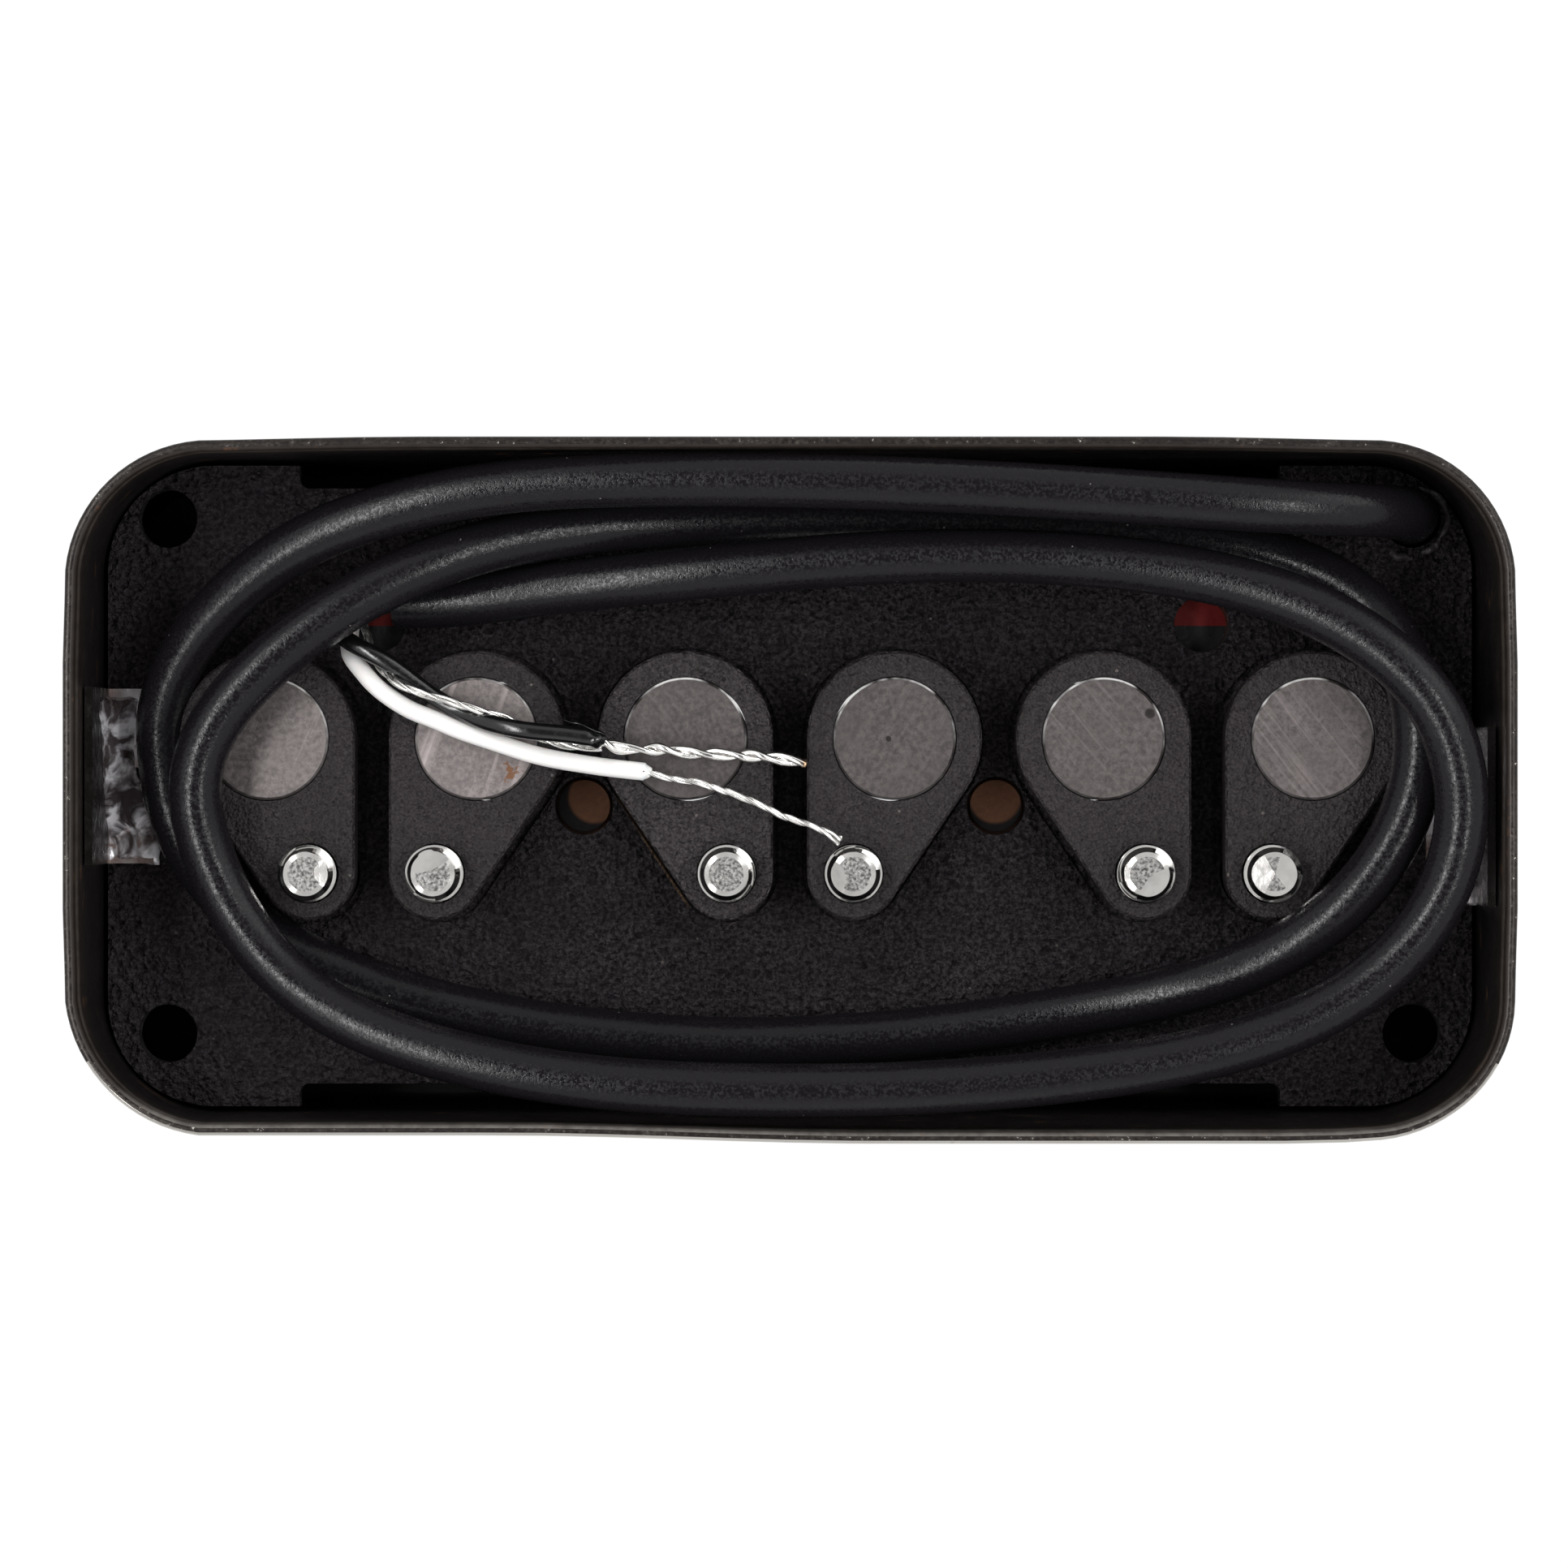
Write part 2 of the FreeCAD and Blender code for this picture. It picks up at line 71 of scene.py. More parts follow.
# The cable's route, from inside its corner hole to the stripped end
CABLE_ROUTE = tenths(
    (314, 135, 60), (314, 135, 140), (292, 135, 177), (244, 136, 194), (169, 141, 198),
    (90, 146, 198), (10, 149, 197), (-69, 150, 192), (-133, 148, 185), (-189, 139, 178),
    (-245, 120, 166), (-291, 83, 149), (-314, 43, 134), (-313, 7, 127), (-307, -21, 123),
    (-289, -51, 120), (-252, -84, 117), (-196, -106, 117), (-136, -120, 117), (-71, -128, 117),
    (-10, -130, 117), (64, -125, 118), (133, -115, 122), (193, -103, 134), (238, -86, 153),
    (275, -59, 166), (299, -27, 168), (311, 9, 168), (309, 48, 166), (294, 84, 152),
    (260, 110, 136), (206, 124, 126), (141, 130, 124), (72, 133, 125), (3, 133, 128),
    (-62, 132, 134), (-122, 126, 149), (-172, 113, 164), (-217, 91, 171), (-257, 62, 172),
    (-285, 31, 171), (-295, 1, 169), (-289, -31, 167), (-271, -69, 167), (-242, -101, 171),
    (-201, -123, 179), (-140, -139, 188), (-77, -147, 193), (-9, -149, 194), (62, -148, 194),
    (137, -142, 193), (201, -132, 190), (249, -117, 188), (288, -94, 188), (317, -60, 191),
    (329, -20, 195), (325, 19, 198), (306, 53, 199), (268, 82, 194), (221, 100, 185),
    (166, 110, 176), (102, 114, 169), (42, 113, 165), (-21, 108, 160), (-82, 102, 150),
    (-132, 97, 136), (-168, 92, 126), (-198, 92, 123))

# Routes of the conductors and their bare ends, from the end of the jacket
WHITE_ROUTE = tenths(
    (-199, 96, 118), (-210, 94, 117), (-218, 88, 119), (-220, 81, 125), (-220, 72, 133),
    (-219, 65, 143), (-213, 58, 151), (-206, 50, 156), (-197, 43, 158), (-187, 37, 159),
    (-176, 33, 159), (-165, 28, 158), (-153, 24, 158), (-141, 20, 157), (-129, 16, 157),
    (-116, 13, 157), (-103, 11, 157), (-90, 9, 157), (-71, 7, 157))
WHITE_STRAND_ROUTE = tenths(
    (-72, 7, 158), (-65, 5, 158), (-56, 3, 158), (-46, 2, 158), (-37, -1, 157), (-25, -5, 157),
    (-13, -10, 157), (-4, -15, 157), (6, -18, 158), (15, -21, 158), (25, -27, 158))
BLACK_ROUTE = tenths(
    (-199, 96, 128), (-208, 94, 132), (-217, 88, 138), (-222, 81, 146), (-222, 74, 153),
    (-214, 69, 158), (-204, 64, 160), (-193, 57, 159), (-183, 49, 158), (-173, 42, 158),
    (-163, 37, 159), (-152, 32, 164), (-140, 29, 170), (-128, 27, 172), (-116, 26, 171),
    (-106, 25, 170), (-95, 23, 169))
DRAIN_ROUTE = tenths(
    (-199, 89, 126), (-207, 87, 129), (-212, 84, 135), (-212, 79, 139), (-210, 74, 142),
    (-208, 68, 145), (-206, 62, 151), (-200, 56, 159), (-194, 51, 165), (-186, 47, 169),
    (-176, 44, 170), (-165, 41, 170), (-153, 37, 167), (-142, 34, 162), (-133, 30, 158),
    (-125, 24, 156), (-115, 21, 157), (-105, 19, 158), (-93, 19, 159))
TWIST_ROUTE = tenths(
    (-93, 22, 161), (-86, 19, 160), (-78, 18, 159), (-68, 18, 159), (-59, 18, 159),
    (-50, 16, 158), (-38, 16, 159), (-29, 15, 159), (-19, 15, 159), (-9, 14, 159), (-1, 13, 159),
    (8, 11, 159))
TORN_THREAD = tenths(
    (-112, 33, 169), (-108, 31, 172), (-104, 31, 173), (-100, 29, 173), (-96, 27, 172),
    (-92, 26, 171), (-89, 24, 169))


def paint(red, green, blue):
    """Linear colour of a display colour given from 0 to 255."""
    shares = [value / 255 for value in (red, green, blue)]
    return tuple(s / 12.92 if s <= 0.04045 else ((s + 0.055) / 1.055) ** 2.4 for s in shares)


def colour(name, value, description):
    return FloatVectorProperty(name=name, description=description, subtype="COLOR", size=3,
                               min=0, max=1, default=value)


def length(name, value, description):
    return FloatProperty(name=name, description=description, unit="LENGTH", precision=5,
                         min=0, default=value)


class PickupCableSettings(bpy.types.PropertyGroup):
    """Sizes and colours of the cable and its conductors"""

    jacket_diameter: length("Jacket diameter", 2.65 * MM, "Outside of the black jacket")
    real_length: length("Cable length", 0.365, "Length of the jacket along its middle")
    white_diameter: length("White wire", 0.9 * MM, "Outside of the white insulation")
    black_diameter: length("Black wire", 0.88 * MM, "Outside of the black insulation")
    strand_diameter: length("Bare strand", 0.2 * MM, "One strand of the bare wires")
    twist_diameter: length("Twisted strand", 0.36 * MM, "One of the two ends twisted together")
    jacket_colour: colour("Jacket", paint(21, 19, 22), "Colour of the cable's jacket")
    white_colour: colour("White insulation", paint(242, 240, 238), "Colour of the white wire")
    black_colour: colour("Black insulation", paint(12, 12, 13), "Colour of the black wire")
    tin_colour: colour("Tinned strands", paint(236, 234, 231), "Colour of the bare strands")


class PickupMetalSettings(bpy.types.PropertyGroup):
    """Sizes and colours of the metal pieces"""

    cover_sheet: length("Cover sheet", 0.55 * MM, "Thickness of the drawn cover")
    cover_corner: length("Cover corner", 6.5 * MM, "Radius of the cover's upright corners")
    thread_diameter: length("Thread", 2.845 * MM, "Outside of the height screws' thread")
    thread_pitch: length("Thread pitch", 0.635 * MM, "Height of one turn of the thread")
    head_diameter: length("Screw head", 4.2 * MM, "Diameter of the slotted heads")
    spring_turns: IntProperty(name="Spring turns", description="Turns of each spring",
                              min=3, default=7)
    spring_wire: length("Spring wire", 0.4 * MM, "Diameter of the springs' wire")
    nickel_colour: colour("Nickel", paint(184, 181, 176), "Colour of the plated cover")
    steel_colour: colour("Screw steel", paint(205, 203, 200), "Colour of the height screws")
    magnet_colour: colour("Magnet", paint(137, 129, 128), "Colour of the ground magnets")
    solder_colour: colour("Solder", paint(228, 226, 230), "Colour of the bright solder")
    rust_colour: colour("Rust", paint(104, 66, 34), "Colour of the rust on a magnet")


class PickupPlasticSettings(bpy.types.PropertyGroup):
    """Colours of the plates, the bobbin and the coil"""

    base_colour: colour("Base plate", paint(38, 35, 37), "Leathery black of the base plate")
    carrier_colour: colour("Carriers", paint(36, 32, 33), "Black fibre of the carriers")
    bobbin_colour: colour("Bobbin", paint(16, 15, 16), "Smooth black of the bobbin")
    wax_colour: colour("Wax", paint(88, 72, 58), "Brown wax that crept out beside one carrier")
    fibre_colour: colour("Brown fibre", paint(68, 39, 23), "Brown of the fibre flange")
    pin_colour: colour("Pins", paint(78, 52, 37), "Brown of the two fibre pins")
    tape_colour: colour("Coil tape", paint(96, 12, 10), "Red of the tape round the coil")


class PickupStageSettings(bpy.types.PropertyGroup):
    """Camera, floor and lamps"""

    camera_height: length("Camera height", 282.2 * MM, "Height of the lens above the floor")
    camera_lens: FloatProperty(name="Lens", description="Focal length in millimetres",
                               min=1, default=123.67)
    lamp_power: FloatProperty(name="Lamp power", description="Power of each soft lamp in watts",
                              min=0, default=0.75)
    ambient: FloatProperty(name="Ambient light", description="Strength of the light from all round",
                           min=0, default=0.85)
    strip_light: FloatProperty(name="Strip light", description="Strength of the strip in gloss",
                               min=0, default=9)


# Pieces in Blender's own terms

def box_of(node):
    low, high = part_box(node)
    return Vector(low), Vector(high)


def pick(piece):
    """Makes a piece the only selected one, and the active one."""
    bpy.ops.object.select_all(action="DESELECT")
    piece.select_set(True)
    bpy.context.view_layer.objects.active = piece


def start(name, kind, **where):
    """Adds and names a mesh primitive, with its place, turn and size in its mesh."""
    bpy.ops.object.select_all(action="DESELECT")
    getattr(bpy.ops.mesh, "primitive_" + kind + "_add")(**where)
    piece = bpy.context.object
    piece.name = piece.data.name = name
    bpy.ops.object.transform_apply(location=True, rotation=True, scale=True)
    return piece


def edit(piece):
    """Opens a piece in edit mode with all of it selected."""
    pick(piece)
    bpy.ops.object.mode_set(mode="EDIT")
    bpy.ops.mesh.select_all(action="SELECT")


def leave_edit():
    bpy.ops.object.mode_set(mode="OBJECT")


def choose(piece, kind, test):
    """Selects the edges or faces that pass the test, in edit mode."""
    bpy.ops.mesh.select_all(action="DESELECT")
    bpy.context.tool_settings.mesh_select_mode = (False, kind == "EDGE", kind == "FACE")
    mesh = bmesh.from_edit_mesh(piece.data)
    mesh.select_mode = {kind}
    for part in mesh.edges if kind == "EDGE" else mesh.faces:
        part.select_set(bool(test(part)))
    mesh.select_flush_mode()
    bmesh.update_edit_mesh(piece.data)


def level(height):
    """Test for the edges that lie at a height."""
    return lambda edge: all(abs(vertex.co.z - height) < 1e-6 for vertex in edge.verts)


def clean(piece, close=0):
    """Merges doubles, closes holes of up to so many sides and turns all faces outwards."""
    edit(piece)
    bpy.ops.mesh.remove_doubles(threshold=1e-6)
    if close:
        bpy.ops.mesh.fill_holes(sides=close)
    bpy.ops.mesh.normals_make_consistent(inside=False)
    leave_edit()


def apply_modifier(piece, kind, **settings):
    """Adds a modifier with these settings and applies it."""
    modifier = piece.modifiers.new(kind.title(), kind)
    for name, value in settings.items():
        setattr(modifier, name, value)
    pick(piece)
    bpy.ops.object.modifier_apply(modifier=modifier.name)


def turn_round(piece, steps, rise=0, turns=1):
    """Sweeps a profile round the upright axis, rising by so much a turn."""
    apply_modifier(piece, "SCREW", angle=2 * math.pi, screw_offset=rise, steps=steps,
                   render_steps=steps, iterations=turns)


def delete(piece):
    mesh = piece.data
    bpy.data.objects.remove(piece)
    bpy.data.meshes.remove(mesh)


def cut_with(piece, tool):
    """Takes another closed piece out of this one and throws it away."""
    apply_modifier(piece, "BOOLEAN", object=tool, operation="DIFFERENCE", solver="EXACT")
    delete(tool)


def copy_piece(piece, name, place):
    """Copy with a mesh of its own, moved by a matrix."""
    copied = piece.copy()
    copied.data = piece.data.copy()
    copied.name = copied.data.name = name
    bpy.context.scene.collection.objects.link(copied)
    copied.data.transform(place)
    return copied


def join(pieces):
    """Joins meshes into the first one."""
    pick(pieces[0])
    for piece in pieces[1:]:
        piece.select_set(True)
    bpy.ops.object.join()
    return pieces[0]


def smooth(piece, angle):
    pick(piece)
    bpy.ops.object.shade_smooth_by_angle(angle=math.radians(angle))


def make_mesh(piece):
    """Turns a curve object into a mesh object."""
    pick(piece)
    bpy.ops.object.convert(target="MESH")
    return bpy.context.object


def finish_piece(piece, body, slot, *nodes):
    """Lets a piece ride on a body and stand for the CAD nodes it replaces."""
    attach(piece, body)
    if nodes:
        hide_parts(*nodes)


def dress(piece, *materials):
    piece.data.materials.clear()
    for material in materials:
        piece.data.materials.append(material)


def dress_nodes(material, *nodes):
    for node in nodes:
        dress(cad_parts[node], material)


def ripple(place, size, seed):
    """Smooth noise from -1 to 1 whose bumps are about this size."""
    return noise.noise(Vector(place) / size + Vector((seed * 7.3, seed * 3.1, seed * 5.7)))


def along(table, place):
    """Value of a table of (place, value) rows, in between by straight lines."""
    if place <= table[0][0]:
        return table[0][1]
    for (a, low), (b, high) in zip(table, table[1:]):
        if place <= b:
            return low + (high - low) * (place - a) / (b - a)
    return table[-1][1]


def soft_step(value, low, high):
    share = min(1, max(0, (value - low) / (high - low)))
    return share * share * (3 - 2 * share)


# Nodes

class Tree:
    """Short ways to add and join the nodes of a material or group."""

    def __init__(self, tree):
        self.tree = tree
        tree.nodes.clear()

    def fill(self, node, inputs):
        """Links sockets to a node's inputs and sets plain values on them."""
        for name, value in inputs.items():
            if isinstance(value, bpy.types.NodeSocket):
                self.tree.links.new(value, node.inputs[name])
            else:
                node.inputs[name].default_value = value
        return node

    def add(self, kind, inputs=None, **settings):
        node = self.tree.nodes.new(kind)
        for name, value in settings.items():
            setattr(node, name, value)
        return self.fill(node, inputs or {})

    def group(self, name, inputs):
        return self.add("ShaderNodeGroup", inputs, node_tree=bpy.data.node_groups[name])

    def math(self, operation, a, b=0.0):
        return self.add("ShaderNodeMath", {0: a, 1: b}, operation=operation).outputs[0]

    def times(self, a, b):
        return self.math("MULTIPLY", a, b)

    def plus(self, a, b):
        return self.math("ADD", a, b)

    def measure(self, operation, a, b):
        """Number that an operation on two vectors gives, such as their distance."""
        return self.add("ShaderNodeVectorMath", {0: a, 1: b}, operation=operation).outputs["Value"]

    def axis(self, vector, name):
        return self.add("ShaderNodeSeparateXYZ", {0: vector}).outputs[name]

    def remap(self, value, low, high, to_low=0.0, to_high=1.0):
        return self.add("ShaderNodeMapRange", {
            "Value": value, "From Min": low, "From Max": high,
            "To Min": to_low, "To Max": to_high}).outputs["Result"]

    def mix(self, share, a, b):
        """Mix of two colours, each a socket or a colour of three values."""
        a, b = [c if isinstance(c, bpy.types.NodeSocket) else (*c, 1) for c in (a, b)]
        return self.add("ShaderNodeMix", {0: share, 6: a, 7: b}, data_type="RGBA").outputs[2]

    def noise(self, vector, scale, detail=3.0, roughness=0.6, distortion=0.0):
        return self.add("ShaderNodeTexNoise", {
            "Vector": vector, "Scale": scale, "Detail": detail, "Roughness": roughness,
            "Distortion": distortion}).outputs[0]

    def shift(self, vector, rotation=(0, 0, 0), scale=(1, 1, 1)):
        return self.add("ShaderNodeMapping", {"Vector": vector, "Rotation": rotation,
                                              "Scale": scale}).outputs[0]


def new_group(name, inputs, outputs):
    """Shader node group with named inputs and outputs: its tree and its input sockets."""
    group = bpy.data.node_groups.new(name, "ShaderNodeTree")
    tree = Tree(group)
    for side, sockets in (("INPUT", inputs), ("OUTPUT", outputs)):
        for socket, value in sockets.items():
            kind = "NodeSocketVector" if value == "vector" else "NodeSocketFloat"
            made = group.interface.new_socket(name=socket, in_out=side, socket_type=kind)
            if side == "INPUT" and kind == "NodeSocketFloat":
                made.default_value = value
    tree.sink = tree.add("NodeGroupOutput")
    return tree, tree.add("NodeGroupInput").outputs


def build_grain_group():
    """Leathery grain of moulded plastic: rounded cells with fine pits between them."""
    tree, given = new_group("moulded_grain", {"Vector": "vector", "Scale": 1500.0, "Pits": 0.4},
                            {"Height": 0.0})
    vector, scale = given["Vector"], given["Scale"]
    cells = tree.add("ShaderNodeTexVoronoi", {"Vector": vector, "Scale": scale, "Detail": 1.0,
                                              "Roughness": 0.6}).outputs["Distance"]
    waves = tree.noise(vector, tree.times(scale, 0.8), 4.0, 0.6, 0.4)
    pits = tree.noise(vector, tree.times(scale, 4.0), 2.0, 0.6)
    height = tree.plus(tree.plus(tree.times(cells, 0.6), waves),
                       tree.times(tree.times(pits, given["Pits"]), 0.5))
    tree.fill(tree.sink, {"Height": height})


def build_specks_group():
    """Sparse specks of dust, as a mask."""
    tree, given = new_group("dust_specks", {"Vector": "vector", "Scale": 900.0, "Size": 0.12},
                            {"Mask": 0.0})
    cells = tree.add("ShaderNodeTexVoronoi", {"Vector": given["Vector"],
                                              "Scale": given["Scale"]}).outputs
    draw = tree.add("ShaderNodeSeparateColor", {0: cells["Color"]}).outputs[0]
    mask = tree.times(tree.math("LESS_THAN", cells["Distance"], given["Size"]),
                      tree.math("GREATER_THAN", draw, 0.82))
    tree.fill(tree.sink, {"Mask": mask})


def build_grind_group():
    """Parallel grinding marks on a cut metal face, turned by an angle."""
    tree, given = new_group(
        "grinding_marks", {"Vector": "vector", "Angle": 0.0, "Scale": 3000.0, "Wander": 0.2},
        {"Height": 0.0, "Mask": 0.0})
    vector, scale = given["Vector"], given["Scale"]
    turn = tree.add("ShaderNodeCombineXYZ", {2: given["Angle"]}).outputs[0]
    drawn_out = tree.shift(tree.shift(vector, rotation=turn), scale=(1, 0.035, 1))
    fine = tree.noise(drawn_out, scale, 3.0, 0.65)
    wide = tree.noise(drawn_out, tree.times(scale, 0.22), 2.0, 0.5)
    patches = tree.noise(vector, tree.times(scale, 0.12), 2.0, 0.5)
    mixed = tree.plus(tree.times(fine, 0.6), tree.times(wide, 0.4))
    tree.fill(tree.sink, {"Height": tree.plus(mixed, tree.times(patches, given["Wander"])),
                          "Mask": tree.remap(fine, 0.52, 0.72)})


def by_socket(values):
    """The same values by the shader's own names for its sockets."""
    return {key.replace("_", " ").title().replace("Ior", "IOR"): value
            for key, value in values.items()}


def new_material(name, tint=(0.5, 0.5, 0.5), **plain):
    """Material with plain values on its shader: its tree and the coordinates of its object."""
    material = bpy.data.materials.new(name)
    material.use_nodes = True
    tree = Tree(material.node_tree)
    tree.material = material
    tree.shader = tree.add("ShaderNodeBsdfPrincipled",
                           {"Base Color": (*tint, 1), **by_socket(plain)})
    tree.add("ShaderNodeOutputMaterial", {"Surface": tree.shader.outputs[0]})
    return tree, tree.add("ShaderNodeTexCoord").outputs["Object"]


def feed(tree, body, rough, height, depth, strength, **more):
    """Feeds the shader its colour, roughness and relief, in mm deep, and gives the material."""
    relief = tree.add("ShaderNodeBump", {"Height": height, "Distance": depth * MM,
                                         "Strength": strength}).outputs[0]
    tree.fill(tree.shader, {"Base Color": body, "Roughness": rough, "Normal": relief,
                            **by_socket(more)})
    return tree.material


def toned(tint, share):
    """A colour made darker or paler."""
    return tuple(min(1, value * share) for value in tint)


def spot(tree, place, centre, radius, ragged):
    """Mask of a round spot with a ragged edge, its place and sizes in millimetres."""
    reach = tree.measure("DISTANCE", place, [c * MM for c in centre])
    edge = tree.math("SUBTRACT", tree.noise(place, 2600), 0.5)
    reach = tree.plus(reach, tree.times(edge, ragged * MM))
    return tree.remap(reach, radius * MM, radius * 0.7 * MM)


def crept_wax(tree, place):
    """Mask of the thin line of wax beside the lower left edge of the third carrier."""
    across = tree.measure("DOT_PRODUCT", place, (0.839, 0.544, 0))
    down = tree.measure("DOT_PRODUCT", place, (0.544, -0.839, 0))
    wander = tree.times(tree.math("SUBTRACT", tree.noise(place, 1100), 0.5), 0.2 * MM)
    reach = tree.math("ABSOLUTE", tree.plus(tree.plus(across, 7.6 * MM), wander))
    ends = tree.times(tree.remap(down, -4.7 * MM, -4.0 * MM), tree.remap(down, 2.5 * MM, 1.9 * MM))
    return tree.times(tree.remap(reach, 0.11 * MM, 0.03 * MM), ends)


def black_plastic(name, tint, scale, depth, roughness, pale, shine=0.22, lit_left_end=False, wax=None):
    """Moulded black: leathery grain, with painted highlights paler on its high places and, if
    asked, painted light paler towards its left end.
    """
    tree, place = new_material(name, tint, specular_ior_level=shine)
    grain = tree.group("moulded_grain", {"Vector": place, "Scale": scale}).outputs["Height"]
    patches = tree.noise(place, 190)
    tooth = tree.noise(place, scale * 2.6, 3.0, 0.7)
    # Painted highlight: the high places of the grain are made paler, standing in for glints on the
    # ridges
    painted_highlight = tree.times(tree.remap(grain, 0.66, 1.0), tree.remap(tooth, 0.42, 0.6))
    painted_highlight = tree.times(painted_highlight, tree.remap(patches, 0.25, 0.75, 0.45, 1))
    dust = tree.group("dust_specks",
                      {"Vector": place, "Scale": 1100.0, "Size": 0.09}).outputs["Mask"]
    body = tree.mix(painted_highlight, toned(tint, 0.62), toned(tint, pale))
    # Painted light: the plate is made paler towards its left end
    if lit_left_end:
        left = tree.axis(place, "X")
        grey = tree.mix(painted_highlight, toned(tint, 1.1), toned(tint, pale * 1.1))
        body = tree.mix(tree.remap(left, -8 * MM, -27 * MM), body, grey)
    if wax:
        body = tree.mix(crept_wax(tree, place), body, wax)
    body = tree.mix(tree.times(dust, 0.5), body, paint(120, 114, 110))
    rough = tree.remap(patches, 0.3, 0.7, roughness - 0.06, roughness + 0.06)
    relief = tree.plus(grain, tree.times(tooth, 0.35))
    return feed(tree, body, rough, relief, depth, 1.0)


def jacket_rubber(settings):
    """Satin black jacket with a very fine grain and a few rubbed places."""
    tint = settings.jacket_colour
    tree, place = new_material("cable_jacket", tint, specular_ior_level=0.2)
    fine = tree.noise(place, 6200, 2.0, 0.7)
    slow = tree.noise(place, 260)
    height = tree.plus(fine, tree.times(slow, 2.0))
    dust = tree.group("dust_specks",
                      {"Vector": place, "Scale": 1300.0, "Size": 0.055}).outputs["Mask"]
    body = tree.mix(tree.times(dust, 0.5), tint, paint(150, 146, 142))
    rough = tree.remap(fine, 0.4, 0.6, 0.1, 0.4)
    return feed(tree, body, rough, height, 0.018, 0.9)


def insulation(name, tint, roughness, soft):
    """Thin plastic insulation with faint ridges along it."""
    tree, place = new_material(name, tint, subsurface_weight=soft, subsurface_scale=0.3 * MM,
                               coat_weight=0.15, coat_roughness=0.2)
    ridges = tree.noise(place, 2400, 3.0, 0.6, 1.2)
    grime = tree.noise(place, 420, 3.0, 0.7)
    body = tree.mix(tree.remap(grime, 0.56, 0.74, 0, 0.35), tint, toned(tint, 0.72))
    return feed(tree, body, tree.remap(ridges, 0.3, 0.7, roughness, roughness + 0.15), ridges,
                0.012, 0.7)


def bright_metal(name, tint, roughness, scale, depth, dark=0.6):
    """Bare metal with small waves, duller in patches."""
    tree, place = new_material(name, tint, metallic=1.0)
    waves = tree.noise(place, scale)
    patches = tree.noise(place, scale * 0.2)
    body = tree.mix(tree.remap(patches, 0.45, 0.72), tint, toned(tint, dark))
    return feed(tree, body, tree.remap(waves, 0.3, 0.75, roughness, roughness * 1.8), waves, depth,
                0.8)


def nickel_plate(settings):
    """Bright plated sheet with the faint marks of the drawing press and a few stains."""
    tint = settings.nickel_colour
    tree, place = new_material("bright_nickel", tint, metallic=1.0)
    drawn = tree.noise(tree.shift(place, scale=(1, 1, 0.08)), 2400, 3.0, 0.6)
    stains = tree.noise(place, 110, 5.0, 0.6)
    specks = tree.remap(tree.noise(place, 1500), 0.68, 0.76, 0, 0.3)
    body = tree.mix(tree.remap(stains, 0.45, 0.75, 0, 0.35), tint, paint(150, 143, 132))
    body = tree.mix(specks, body, paint(120, 110, 96))
    return feed(tree, body, tree.remap(stains, 0.35, 0.7, 0.1, 0.2), drawn, 0.006, 0.5)


def dull_inside():
    """Inside of the cover: dark brownish plating, with painted shade darker deeper down and darker
    still below the base plate, and a painted highlight near the rim on the low side.
    """
    tree, place = new_material("cover_inside", specular_ior_level=0.2)
    height = tree.axis(place, "Z")
    streaks = tree.noise(tree.shift(place, scale=(1, 1, 0.12)), 1500, 3.0, 0.65)
    stains = tree.noise(place, 600, 4.0, 0.65)
    across = tree.axis(place, "Y")
    # Painted shade: the wall is darker deeper down and paler towards the rim
    near_rim = tree.math("POWER", tree.remap(height, 12.5 * MM, 20.9 * MM), 2.0)
    # Painted highlight: paler near the rim on the low side in y
    low_side = tree.times(tree.remap(across, -14.5 * MM, -16.0 * MM),
                          tree.remap(height, 18.2 * MM, 21.0 * MM))
    body = tree.mix(near_rim, paint(29, 26, 27), paint(46, 40, 36))
    body = tree.mix(tree.times(tree.remap(height, 18.6 * MM, 19.1 * MM),
                               tree.remap(height, 19.6 * MM, 19.9 * MM, 0.8, 0)), body,
                    paint(84, 77, 71))
    body = tree.mix(low_side, body, paint(112, 108, 104))
    body = tree.mix(tree.remap(streaks, 0.4, 0.7, 0, 0.45), body, paint(26, 22, 21))
    body = tree.mix(tree.remap(stains, 0.62, 0.74, 0, 0.5), body, paint(104, 74, 52))
    # Painted shade: darker below the base plate
    body = tree.mix(tree.remap(height, 8.0 * MM, 10.5 * MM, 1, 0), body, paint(14, 12, 11))
    return feed(tree, body, tree.remap(stains, 0.35, 0.7, 0.3, 0.5), streaks, 0.01, 0.5)


def sheared_rim():
    """Cut edge of the sheet: brownish grey, with fine marks across it and bright torn specks."""
    tree, place = new_material("sheared_rim", metallic=0.6)
    burrs = tree.noise(place, 5200, 3.0, 0.7)
    patches = tree.noise(place, 300)
    body = tree.mix(tree.remap(patches, 0.35, 0.65), paint(36, 31, 28), paint(58, 53, 49))
    body = tree.mix(tree.remap(burrs, 0.42, 0.6), paint(30, 26, 24), body)
    body = tree.mix(tree.remap(burrs, 0.66, 0.74), body, paint(190, 186, 178))
    return feed(tree, body, tree.remap(burrs, 0.35, 0.7, 0.3, 0.45), burrs, 0.02, 0.7)


